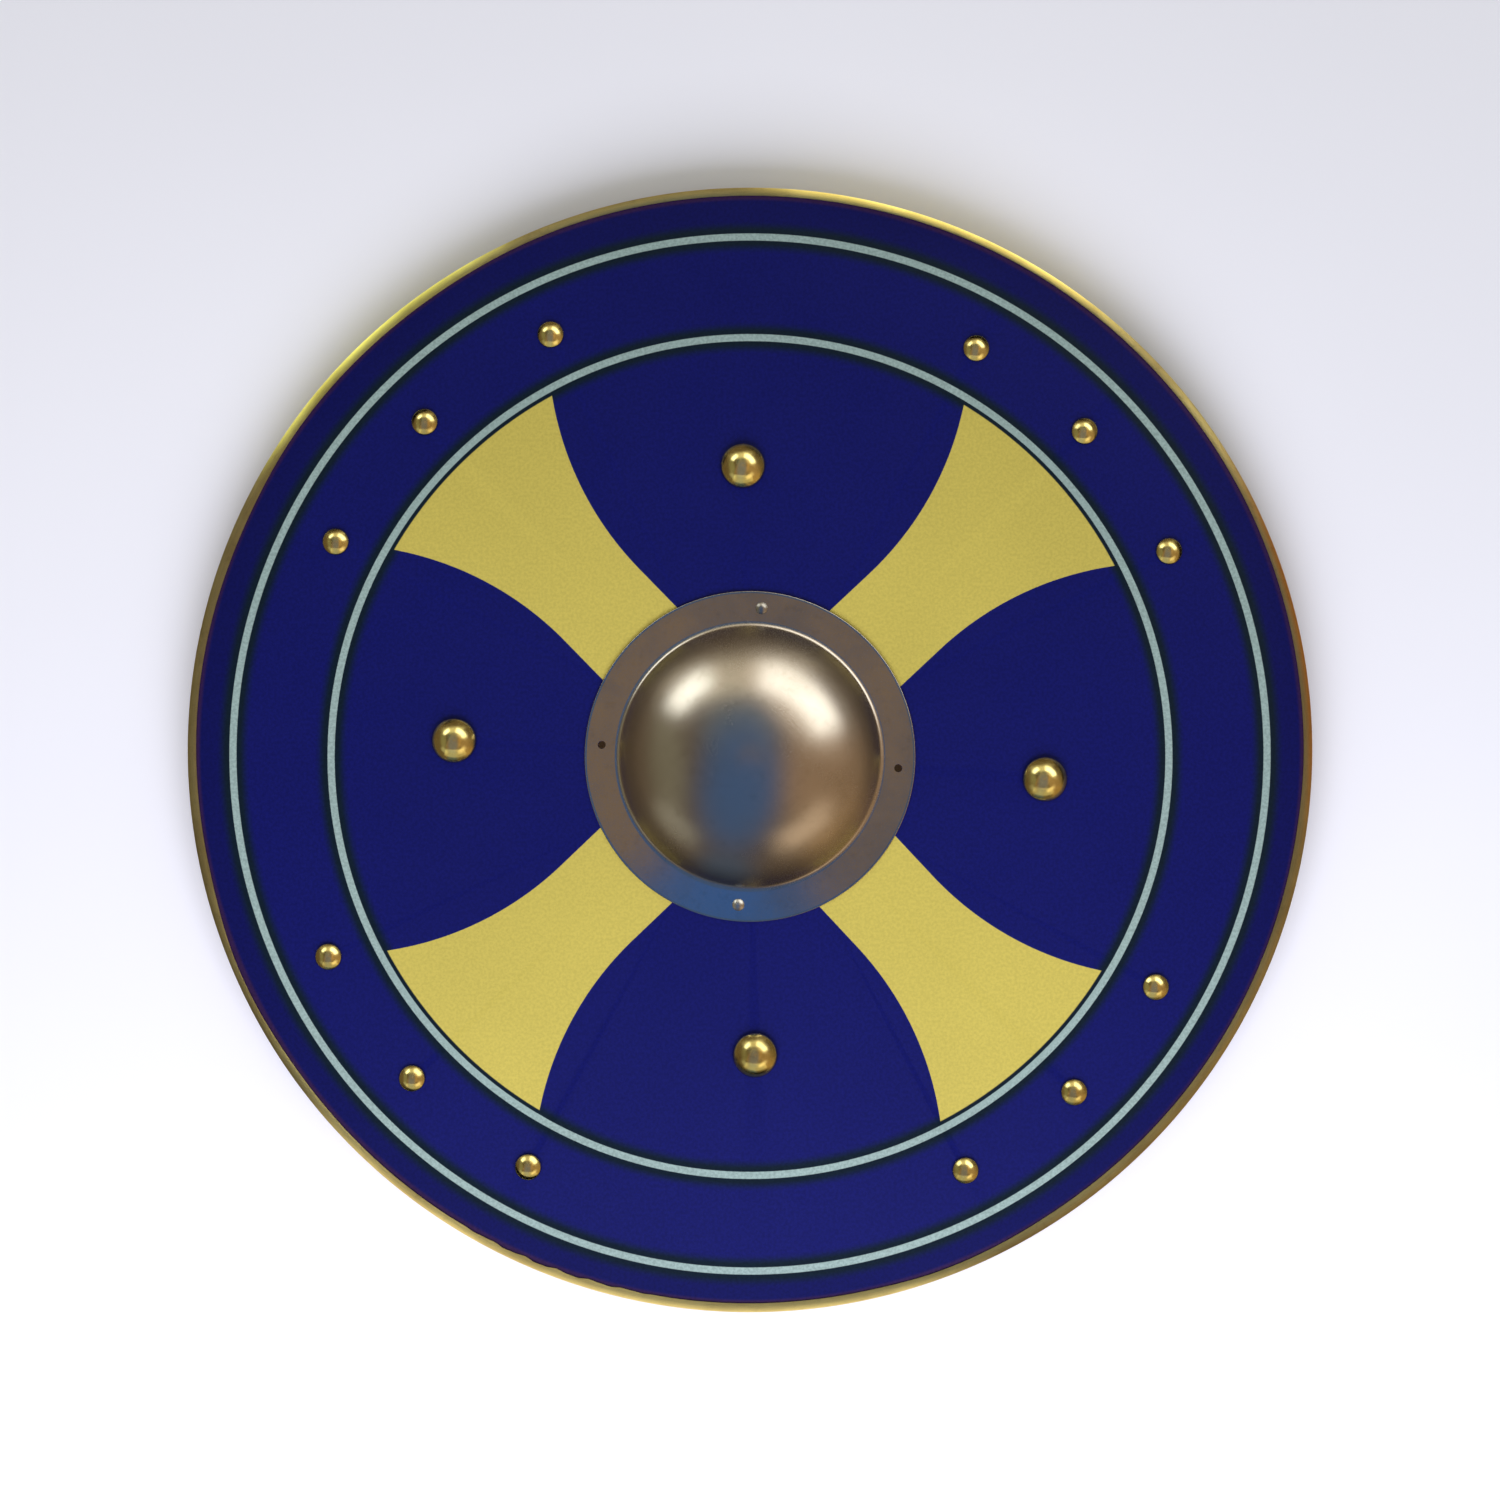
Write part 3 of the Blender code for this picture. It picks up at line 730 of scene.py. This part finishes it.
class SHIELD_OT_board(Operator):
    """Build the painted board with its hand hole and the holes of its studs"""

    bl_idname = "shield.board"
    bl_label = "Board"

    def execute(self, context):
        paint = context.scene.shield_paint
        wood = context.scene.shield_wood
        back = BOARD_LOW.z
        front = BOARD_HIGH.z
        middle = (back + front) / 2
        turning = BOARD_HIGH.x - BOARD_ROUNDING
        flat = turning - BOARD_INSET
        rise = front - BOARD_EASE - BOARD_ROUNDING
        fall = back + BOARD_EASE + BOARD_ROUNDING
        hole = wood.hand_hole
        points = [(hole, front - BOARD_CHAMFER), (hole + BOARD_CHAMFER, front), (flat, front)]
        points += arc((turning, rise), BOARD_ROUNDING, 90.0, 0.0, BEND_SEGMENTS)
        points += arc((turning, fall), BOARD_ROUNDING, 0.0, -90.0, BEND_SEGMENTS)
        points += [(flat, back), (hole + BOARD_CHAMFER, back), (hole, back + BOARD_CHAMFER)]
        points.append((hole, middle))
        shape = turn(points, BOARD_STEPS, closed=True)
        inner = [vert for vert in shape.verts if vert.co.xy.length < hole + 2 * BOARD_CHAMFER]
        bmesh.ops.translate(shape, vec=(0.0, BOSS_CENTRE.y, 0.0), verts=inner)
        blind = front - PILOT_DEPTH
        above = front + DRILL_ROOM
        holes = []
        for node in SMALL_STUDS:
            x, y, *_ = node_place(node)
            holes.append((x, y, blind, above, SMALL_PILOT))
        for node in LARGE_STUDS:
            x, y, *_ = node_place(node)
            low = back - DRILL_ROOM if node in RIVETED_STUDS else blind
            holes.append((x, y, low, above, LARGE_PILOT))
        for place in flange_holes():
            holes.append((*place, blind, above, NAIL_PILOT))
        shape = drill(shape, holes)
        painted = paint_finish(paint)
        grain = math.radians(90.0)
        bare = wood_finish("board_wood", wood.board_light, wood.board_dark, grain, PLIES)
        for face in shape.faces:
            on_front = face.normal.z > 0.5 and face.calc_center_median().z > front - DRILL_ROOM
            face.material_index = 0 if on_front else 1
        add_piece("painted_board", shape, (painted, bare), "board")
        return {"FINISHED"}


class SHIELD_OT_rim(Operator):
    """Fold the brass strip over the edge of the board"""

    bl_idname = "shield.rim"
    bl_label = "Brass edging"

    def execute(self, context):
        metal = context.scene.shield_metal
        top = RIM_HIGH.z
        bottom = RIM_LOW.z
        sheet = metal.sheet
        lean = math.degrees(metal.lip_slope)
        lip = SHIELD_RADIUS - metal.lip_width
        crown = lip + metal.lip_crown
        bend = SHIELD_RADIUS - crown
        sweep = metal.lip_crown / math.sin(metal.lip_slope)
        points = arc((crown, top - sweep), sweep, 90.0 + lean, 90.0, LIP_SEGMENTS)
        points += arc((crown, top - bend), bend, 90.0, 0.0, BEND_SEGMENTS)[1:]
        points += arc((crown, bottom + bend), bend, 0.0, -90.0, BEND_SEGMENTS)
        points += arc((crown, bottom + sweep), sweep, -90.0, -90.0 - lean, LIP_SEGMENTS)[1:]
        points += arc((crown, bottom + sweep), sweep - sheet, -90.0 - lean, -90.0, LIP_SEGMENTS)
        points += arc((crown, bottom + bend), bend - sheet, -90.0, 0.0, BEND_SEGMENTS)[1:]
        points += arc((crown, top - bend), bend - sheet, 0.0, 90.0, BEND_SEGMENTS)
        points += arc((crown, top - sweep), sweep - sheet, 90.0, 90.0 + lean, LIP_SEGMENTS)[1:]
        shape = turn(points, RIM_STEPS, closed=True)
        for vert in shape.verts:
            reach = vert.co.xy.length
            if reach < crown:
                azimuth = math.degrees(math.atan2(vert.co.y, vert.co.x)) % 360.0
                share = min(1.0, (crown - reach) / metal.lip_crown)
                moved = reach - share * lip_width_at(azimuth)
                vert.co.xy = vert.co.xy * (moved / reach)
        add_piece("brass_edging", shape, (edging_finish(metal),), "rim")
        return {"FINISHED"}


class SHIELD_OT_boss(Operator):
    """Press the steel dome and its flange from one sheet and pierce its four holes"""

    bl_idname = "shield.boss"
    bl_label = "Steel boss"

    def execute(self, context):
        metal = context.scene.shield_metal
        sheet = metal.boss_sheet
        foot = metal.dome_foot
        fillet = metal.dome_fillet
        flange_top = BOSS_LOW.z + sheet
        height = BOSS_HIGH.z - flange_top
        radius = (foot**2 + height**2) / (2 * height)
        centre = flange_top + height - radius
        fillet_height = flange_top + fillet
        fillet_reach = math.sqrt((radius + fillet) ** 2 - (fillet_height - centre) ** 2)
        meeting = math.degrees(math.atan2(fillet_height - centre, fillet_reach))
        rounding = FLANGE_ROUNDING
        edge = FLANGE_RADIUS - rounding
        points = arc((0.0, centre), radius, 90.0, meeting, DOME_SEGMENTS)
        points += arc(
            (fillet_reach, fillet_height), fillet, meeting + 180.0, 270.0, FILLET_SEGMENTS
        )[1:]
        points += [
            (fillet_reach + FILLET_FLAT, flange_top), (FLANGE_RADIUS - 3 * rounding, flange_top)
        ]
        points += arc((edge, flange_top - rounding), rounding, 90.0, 0.0, EDGE_SEGMENTS)
        points += arc((edge, BOSS_LOW.z + rounding), rounding, 0.0, -90.0, EDGE_SEGMENTS)
        points.append((fillet_reach + FILLET_FLAT, BOSS_LOW.z))
        points += arc(
            (fillet_reach, fillet_height), fillet + sheet, 270.0, meeting + 180.0, FILLET_SEGMENTS
        )
        points += arc((0.0, centre), radius - sheet, meeting, 90.0, DOME_SEGMENTS)[1:]
        points[0] = (0.0, BOSS_HIGH.z)
        points[-1] = (0.0, BOSS_HIGH.z - sheet)
        shape = turn(points, BOSS_STEPS)
        shift(shape, (BOSS_CENTRE.x, BOSS_CENTRE.y, 0.0))
        low = BOSS_LOW.z - DRILL_ROOM
        high = flange_top + DRILL_ROOM
        holes = [(*place, low, high, FLANGE_HOLE) for place in flange_holes()]
        shape = drill(shape, holes)
        add_piece("steel_boss", shape, (boss_finish(metal),), "boss")
        return {"FINISHED"}


def flange_holes():
    """The places of the four holes of the flange, a quarter turn apart, from the upper nail's."""
    nail_x, nail_y, *_ = node_place("boss_nail_top")
    spoke = Vector((nail_x - BOSS_CENTRE.x, nail_y - BOSS_CENTRE.y))
    places = []
    for quarter in range(4):
        place = Matrix.Rotation(math.radians(90.0 * quarter), 2) @ spoke
        places.append((BOSS_CENTRE.x + place.x, BOSS_CENTRE.y + place.y))
    return places


def head_points(radius, height, slope):
    """The side of a domed head from its top down: a round crown that grows straighter up to the
    given slope, a rounded edge and a short upright foot."""
    brim = radius * HEAD_BRIM
    points = [(0.0, height)]
    drop = 0.0
    for step in range(1, HEAD_SEGMENTS + 1):
        share = (step - 0.5) / HEAD_SEGMENTS
        tilt = slope * (1 - (1 - share) ** HEAD_ROUNDNESS)
        drop += math.tan(math.radians(tilt)) * brim / HEAD_SEGMENTS
        points.append((brim * step / HEAD_SEGMENTS, height - drop))
    edge = (radius - brim) / (1 - math.sin(math.radians(slope)))
    middle = height - drop - edge * math.cos(math.radians(slope))
    points += arc((radius - edge, middle), edge, 90.0 - slope, 0.0, BRIM_SEGMENTS)[1:]
    if middle < 0.0001:
        raise ValueError("the head is too flat for its slope")
    return points + [(radius, middle * 0.4), (radius - middle * 0.4, 0.0)]


def lean_a_little(shape, number, height):
    """Tips a head by a degree or so, each another way, as driven in by hand."""
    azimuth = LEAN_TURN * number
    tip = Matrix.Rotation(HEAD_LEAN, 3, (math.cos(azimuth), math.sin(azimuth), 0.0))
    bmesh.ops.rotate(
        shape, cent=(0.0, 0.0, 0.0), matrix=tip,
        verts=[vert for vert in shape.verts if vert.co.z > -height * 0.05],
    )


class SHIELD_OT_boss_nails(Operator):
    """Drive the two round-headed nails through the flange of the boss"""

    bl_idname = "shield.boss_nails"
    bl_label = "Nails of the boss"

    def execute(self, context):
        metal = context.scene.shield_metal
        steel = Metal("nail_steel", metal.nail_steel, NAIL_TARNISH, 0.34, 0.03, 120.0, 0.00003)
        dull = steel.span(steel.y, -0.02, 0.02, 0.0, metal.nail_dulling)
        steel.tone = steel.mix(dull, steel.tone, tuple(c * 0.5 for c in metal.steel))
        bright = steel.done()
        for node in BOSS_NAILS:
            x, y, radius, low, high = node_place(node)
            base = high - NAIL_HEAD_HEIGHT
            points = head_points(radius, NAIL_HEAD_HEIGHT, NAIL_SLOPE)
            points += [(NAIL_SHANK, 0.0), (NAIL_SHANK, low - base), (0.0, low - base)]
            shape = turn(points, SMALL_STUD_STEPS)
            shift(shape, (x, y, base))
            add_piece(node.replace("boss_nail", "flange_nail"), shape, (bright,), node)
        return {"FINISHED"}


class SHIELD_OT_large_studs(Operator):
    """Drive the four large domed studs and peen the two that hold the grip"""

    bl_idname = "shield.large_studs"
    bl_label = "Large studs"

    def execute(self, context):
        metal = context.scene.shield_metal
        brass = Metal(
            "stud_brass", metal.stud_brass, STUD_TARNISH, metal.stud_roughness, 0.03, 60.0, 0.00005
        ).done()
        base = BOARD_HIGH.z + HEAD_LIFT
        for number, node in enumerate(LARGE_STUDS):
            x, y, radius, low, high = node_place(node)
            height = high - base
            end = low - base
            points = head_points(radius, height, LARGE_STUD_SLOPE)
            shank = LARGE_SHANK
            if node in RIVETED_STUDS:
                points += [(shank, 0.0), (shank, end + 0.0015), (shank + 0.0015, end + 0.0014)]
                points += [(shank + 0.0013, end + 0.0008), (shank + 0.0002, end + 0.0001), (0.0, end)]
            else:
                points += [(shank, 0.0), (shank, end + 0.002), (0.0, end)]
            shape = turn(points, LARGE_STUD_STEPS)
            lean_a_little(shape, number, height)
            shift(shape, (x, y, base))
            add_piece(node.replace("large_stud", "great_stud"), shape, (brass,), node)
        return {"FINISHED"}


class SHIELD_OT_small_studs(Operator):
    """Drive the twelve small domed studs beyond the ends of the arms"""

    bl_idname = "shield.small_studs"
    bl_label = "Small studs"

    def execute(self, context):
        metal = context.scene.shield_metal
        brass = Metal(
            "small_stud_brass", metal.stud_brass, STUD_TARNISH, metal.stud_roughness, 0.03, 90.0, 0.00003
        ).done()
        base = BOARD_HIGH.z + HEAD_LIFT
        for number, node in enumerate(SMALL_STUDS, 5):
            x, y, radius, low, high = node_place(node)
            height = high - base
            end = low - base
            points = head_points(radius, height, SMALL_STUD_SLOPE)
            points += [(SMALL_SHANK, 0.0), (SMALL_SHANK, end + 0.001), (0.0, end)]
            shape = turn(points, SMALL_STUD_STEPS)
            lean_a_little(shape, number, height)
            shift(shape, (x, y, base))
            add_piece(node.replace("small_stud", "face_stud"), shape, (brass,), node)
        return {"FINISHED"}


class SHIELD_OT_grip(Operator):
    """Shape the wooden bar across the hand hole"""

    bl_idname = "shield.grip"
    bl_label = "Wooden grip"

    def execute(self, context):
        wood = context.scene.shield_wood
        left = Vector(node_place("large_stud_left")[:2])
        right = Vector(node_place("large_stud_right")[:2])
        span = (right - left).length
        middle = (left + right) / 2
        angle = math.atan2(right.y - left.y, right.x - left.x)
        height = GRIP_HIGH.z
        width = wood.grip_width
        length = span + GRIP_OVERHANG
        end_bottom = height - wood.grip_end
        shape = bmesh.new()
        bmesh.ops.create_cube(shape, size=1.0)
        bmesh.ops.scale(shape, vec=(length, width, height), verts=shape.verts)
        shift(shape, (0.0, 0.0, height / 2))
        uprights = [e for e in shape.edges if abs(e.verts[0].co.z - e.verts[1].co.z) > height / 2]
        bmesh.ops.bevel(
            shape, geom=uprights, offset=width / 2 - 0.0004, segments=14, profile=0.5,
            affect="EDGES", material=-1,
        )
        ramp_foot = wood.hand_hole + wood.grip_ramp
        stations = [wood.hand_hole + wood.grip_ramp * step / 14 for step in range(15)]
        stations += [0.0, 0.02, 0.04]
        for reach in stations:
            for side in (-reach, reach):
                bmesh.ops.bisect_plane(
                    shape, geom=shape.verts[:] + shape.edges[:] + shape.faces[:],
                    dist=MERGE_DISTANCE, plane_co=(side, 0.0, 0.0), plane_no=(1.0, 0.0, 0.0),
                )
        for vert in shape.verts:
            if vert.co.z < height / 2:
                share = (ramp_foot - abs(vert.co.x)) / wood.grip_ramp
                share = min(1.0, max(0.0, share))
                vert.co.z = end_bottom * (1 + math.cos(math.pi * share)) / 2
        edges = [e for e in shape.edges if e.is_manifold and e.calc_face_angle() > math.radians(50.0)]
        bmesh.ops.bevel(
            shape, geom=edges, offset=GRIP_ROUNDING, segments=6, profile=0.5, affect="EDGES",
            material=-1,
        )
        bmesh.ops.rotate(
            shape, cent=(0.0, 0.0, 0.0), matrix=Matrix.Rotation(angle, 3, "Z"), verts=shape.verts
        )
        shift(shape, (middle.x, middle.y, 0.0))
        holes = [(*place, -0.001, height + DRILL_ROOM, LARGE_PILOT) for place in (left, right)]
        shape = drill(shape, holes)
        timber = wood_finish("grip_wood", wood.grip_light, wood.grip_dark, -angle, 0)
        add_piece("wooden_grip", shape, (timber,), "grip")
        return {"FINISHED"}


class SHIELD_OT_washers(Operator):
    """Lay the two round washers under the peened ends of the side studs"""

    bl_idname = "shield.washers"
    bl_label = "Washers"

    def execute(self, context):
        metal = context.scene.shield_metal
        brass = Metal(
            "washer_brass", metal.washer_brass, WASHER_TARNISH, 0.30, 0.04, 90.0, 0.00003
        ).done()
        for node in WASHERS:
            x, y, radius, low, high = node_place(node)
            hole = WASHER_HOLE
            soft = WASHER_ROUNDING
            points = [(hole, low + soft), (hole + soft, low), (radius - soft, low)]
            points += [(radius, low + soft), (radius, high - soft), (radius - soft, high)]
            points += [(hole + soft, high), (hole, high - soft)]
            shape = turn(points, WASHER_STEPS, closed=True)
            shift(shape, (x, y, 0.0))
            add_piece(node.replace("grip_washer", "peen_washer"), shape, (brass,), node)
        return {"FINISHED"}


def shown_by(prefixes):
    """A group of the pieces whose names start in the given ways, for a light that only they show."""
    group = bpy.data.collections.new("shown_by")
    for piece in bpy.context.scene.objects:
        if piece.name.startswith(prefixes):
            group.objects.link(piece)
    return group


def add_soft_lamp(name, place, size, colour, radiance, group=None):
    """A flat lamp that faces the shield's middle. It lights paint and wood only, or with a group
    it shows in the shine of that group's pieces only."""
    light = bpy.data.lights.new(name, "AREA")
    light.shape = "RECTANGLE"
    light.size, light.size_y = size
    light.color = colour
    light.energy = radiance * math.pi * size[0] * size[1]
    lamp = bpy.data.objects.new(name, light)
    lamp.location = place
    lamp.rotation_euler = (-Vector(place)).to_track_quat("-Z", "Y").to_euler()
    lamp.visible_camera = False
    if group:
        lamp.visible_diffuse = False
        lamp.light_linking.receiver_collection = group
    else:
        lamp.visible_glossy = False
    bpy.context.scene.collection.objects.link(lamp)


def room_world(strength):
    """Even soft light for paint and wood, and a pale background."""
    world = bpy.data.worlds.new("soft_room")
    world.use_nodes = True
    world.cycles_visibility.glossy = False
    tree = world.node_tree
    background = tree.nodes["Background"]
    seen = tree.nodes.new("ShaderNodeLightPath").outputs["Is Camera Ray"]
    level = tree.nodes.new("ShaderNodeMapRange")
    level.inputs["To Min"].default_value = strength
    level.inputs["To Max"].default_value = BACKGROUND
    tree.links.new(seen, level.inputs["Value"])
    tree.links.new(level.outputs[0], background.inputs["Strength"])
    background.inputs["Color"].default_value = (1.0, 1.0, 1.0, 1.0)
    return world


def tent_finish(strength):
    """The light of a round tent: a dim warm room with soft panels and four soft lamps.

    A place in the tent is named by the place where a ball that is seen from above shows it,
    in shares of the ball's radius: 0 is straight up and 0.707 is the horizon."""
    material = bpy.data.materials.new("tent_light")
    material.use_nodes = True
    material.cycles.emission_sampling = "NONE"
    tree = material.node_tree
    tree.nodes.clear()
    recipe = Recipe(tree)

    def unit(vector):
        node = tree.nodes.new("ShaderNodeVectorMath")
        node.operation = "NORMALIZE"
        tree.links.new(vector, node.inputs[0])
        return node.outputs[0]

    lifted = tree.nodes.new("ShaderNodeVectorMath")
    lifted.operation = "ADD"
    tree.links.new(unit(recipe.coordinates), lifted.inputs[0])
    lifted.inputs[1].default_value = (0.0, 0.0, 1.0)
    split = tree.nodes.new("ShaderNodeSeparateXYZ")
    tree.links.new(unit(lifted.outputs[0]), split.inputs[0])
    across, up = split.outputs[:2]
    reach = recipe.distance(across, up)

    def belt(distance, width):
        band = recipe.calc("ABSOLUTE", recipe.calc("SUBTRACT", reach, distance))
        return recipe.span(band, width * 0.6, width * 1.4, 1.0, 0.0)

    colour = TENT_ROOM
    for azimuth, distance, length, width, turned, soft, light in TENT_PANELS:
        turn_angle = math.radians(azimuth)
        lean = math.radians(turned)
        x = recipe.calc("SUBTRACT", across, distance * math.cos(turn_angle))
        y = recipe.calc("SUBTRACT", up, distance * math.sin(turn_angle))
        along = recipe.calc(
            "ADD",
            recipe.calc("MULTIPLY", x, math.cos(lean) / length),
            recipe.calc("MULTIPLY", y, math.sin(lean) / length),
        )
        aside = recipe.calc(
            "SUBTRACT",
            recipe.calc("MULTIPLY", y, math.cos(lean) / width),
            recipe.calc("MULTIPLY", x, math.sin(lean) / width),
        )
        mask = recipe.span(recipe.distance(along, aside), 1 - soft, 1 + soft, 1.0, 0.0)
        colour = recipe.mix(mask, colour, light)
    for azimuth, half_angle, distance, width, light in TENT_LAMPS:
        stretch = recipe.sector(across, up, azimuth, half_angle)
        mask = recipe.calc("MULTIPLY", stretch, belt(distance, width))
        colour = recipe.mix(mask, colour, light)
    distance, width, light, azimuth, half_angle, cool_light = TENT_RING
    ring = recipe.mix(recipe.sector(across, up, azimuth, half_angle), light, cool_light)
    colour = recipe.mix(belt(distance, width), colour, ring)
    below = recipe.span(recipe.z, -0.20, -0.02, 1.0, 0.0)
    colour = recipe.mix(below, colour, TENT_ROOM)
    emission = tree.nodes.new("ShaderNodeEmission")
    emission.inputs["Strength"].default_value = strength
    tree.links.new(colour, emission.inputs["Color"])
    output = tree.nodes.new("ShaderNodeOutputMaterial")
    tree.links.new(emission.outputs[0], output.inputs["Surface"])
    return material


def card_finish():
    """The lit and dim stretches of the card ring, with soft ends; it is clear between them."""
    material = bpy.data.materials.new("card_light")
    material.use_nodes = True
    material.cycles.emission_sampling = "NONE"
    tree = material.node_tree
    tree.nodes.clear()
    recipe = Recipe(tree)
    glow = (0.0, 0.0, 0.0)
    cover = 0.0
    for azimuth, half_angle, light in CARD_LIGHTS:
        mask = recipe.sector(recipe.x, recipe.y, azimuth, half_angle)
        glow = recipe.mix(mask, glow, light)
        cover = recipe.calc("MAXIMUM", cover, mask)
    clear = recipe.calc("SUBTRACT", 1.0, cover)
    through = tree.nodes.new("ShaderNodeBsdfTransparent")
    tree.links.new(recipe.vector(clear, clear, clear), through.inputs["Color"])
    emission = tree.nodes.new("ShaderNodeEmission")
    tree.links.new(glow, emission.inputs["Color"])
    both = tree.nodes.new("ShaderNodeAddShader")
    tree.links.new(through.outputs[0], both.inputs[0])
    tree.links.new(emission.outputs[0], both.inputs[1])
    output = tree.nodes.new("ShaderNodeOutputMaterial")
    tree.links.new(both.outputs[0], output.inputs["Surface"])
    return material


def reflected_only(name, shape, material):
    """A stage object that only shiny surfaces show."""
    mesh = bpy.data.meshes.new(name)
    shape.to_mesh(mesh)
    shape.free()
    mesh.materials.append(material)
    shell = bpy.data.objects.new(name, mesh)
    shell.visible_camera = False
    shell.visible_diffuse = False
    shell.visible_shadow = False
    bpy.context.scene.collection.objects.link(shell)
    return shell


def floor_finish():
    """Pale matt floor with the faintest cloudiness. It stays pale where the lamps don't reach."""
    finish = Finish("pale_floor", 0.0, 0.9)
    clouds = finish.noise(finish.coordinates, 2.0, 3.0)
    colour = finish.mix(finish.span(clouds, 0.3, 0.7), (0.86, 0.86, 0.85), (0.88, 0.88, 0.87))
    finish.set("Base Color", colour)
    finish.set("Emission Color", (0.98, 0.99, 1.0, 1.0))
    away = finish.distance(finish.x, finish.y)
    finish.set("Emission Strength", finish.span(away, 1.0, 3.0, 0.0, FAR_FLOOR_GLOW))
    return finish.material


class SHIELD_OT_stage(Operator):
    """Set the floor, the camera above the shield and the soft lights round it"""

    bl_idname = "shield.stage"
    bl_label = "Stage"

    def execute(self, context):
        stage = context.scene.shield_stage
        shape = bmesh.new()
        bmesh.ops.create_grid(shape, x_segments=1, y_segments=1, size=FLOOR_HALF_WIDTH)
        mesh = bpy.data.meshes.new("floor")
        shape.to_mesh(mesh)
        shape.free()
        mesh.materials.append(floor_finish())
        floor = bpy.data.objects.new("floor", mesh)
        floor.visible_glossy = False
        context.scene.collection.objects.link(floor)

        camera = bpy.data.cameras.new("camera")
        camera.sensor_width = 36.0
        camera.lens = camera.sensor_width * stage.camera_height / stage.frame_width
        camera.clip_end = 50.0
        viewer = bpy.data.objects.new("camera", camera)
        viewer.location = (0.0, 0.0, BOARD_HIGH.z + stage.camera_height)
        context.scene.collection.objects.link(viewer)
        context.scene.camera = viewer

        shape = bmesh.new()
        bmesh.ops.create_uvsphere(shape, u_segments=64, v_segments=32, radius=stage.tent_radius)
        reflected_only("tent", shape, tent_finish(stage.tent))
        band = turn([(CARD_RADIUS, 0.001), (CARD_RADIUS, CARD_HEIGHT)], RIM_STEPS)
        card = reflected_only("card_ring", band, card_finish())
        card.light_linking.receiver_collection = shown_by(("brass_edging",))
        add_soft_lamp("overhead", (0.0, 0.3, 2.2), (2.4, 2.4), (1.0, 0.99, 0.95), stage.overhead)
        add_soft_lamp("near_side", (0.0, -0.90, 1.00), (1.5, 1.1), (0.95, 0.96, 1.20), stage.near_side)
        studs = shown_by(("great_stud", "face_stud"))
        add_soft_lamp("crown", (-0.08, -0.20, 1.2), (1.5, 2.1), (1.0, 0.45, 0.0), stage.crown, studs)
        add_soft_lamp("shoulder", (0.0, -1.7, 0.9), (3.2, 1.1), (1.0, 0.87, 0.55), stage.shoulder, studs)
        context.scene.world = room_world(stage.room)
        context.scene.view_settings.view_transform = "Standard"
        return {"FINISHED"}


OPERATORS = (
    SHIELD_OT_board, SHIELD_OT_rim, SHIELD_OT_boss, SHIELD_OT_boss_nails, SHIELD_OT_large_studs,
    SHIELD_OT_small_studs, SHIELD_OT_grip, SHIELD_OT_washers, SHIELD_OT_stage,
)


class SHIELD_PT_pieces(Panel):
    """The pieces of the shield, in the order in which they are built"""

    bl_idname = "SHIELD_PT_pieces"
    bl_label = "Round wooden shield"
    bl_space_type = "VIEW_3D"
    bl_region_type = "UI"
    bl_category = "Shield"

    def draw(self, context):
        for operator in OPERATORS:
            self.layout.operator(operator.bl_idname)
        for name in SETTINGS:
            settings = getattr(context.scene, name)
            box = self.layout.box()
            for key in type(settings).__annotations__:
                box.prop(settings, key)


SETTINGS = {
    "shield_paint": ShieldPaint,
    "shield_metal": ShieldMetal,
    "shield_wood": ShieldWood,
    "shield_stage": ShieldStage,
}


def register():
    for name, group in SETTINGS.items():
        bpy.utils.register_class(group)
        setattr(bpy.types.Scene, name, PointerProperty(type=group))
    for operator in OPERATORS:
        bpy.utils.register_class(operator)
    bpy.utils.register_class(SHIELD_PT_pieces)


def unregister():
    bpy.utils.unregister_class(SHIELD_PT_pieces)
    for operator in reversed(OPERATORS):
        bpy.utils.unregister_class(operator)
    for name, group in SETTINGS.items():
        delattr(bpy.types.Scene, name)
        bpy.utils.unregister_class(group)


def main():
    register()
    bpy.ops.shield.board()
    bpy.ops.shield.rim()
    bpy.ops.shield.boss()
    bpy.ops.shield.boss_nails()
    bpy.ops.shield.large_studs()
    bpy.ops.shield.small_studs()
    bpy.ops.shield.grip()
    bpy.ops.shield.washers()
    bpy.ops.shield.stage()


if __name__ == "__main__":
    main()
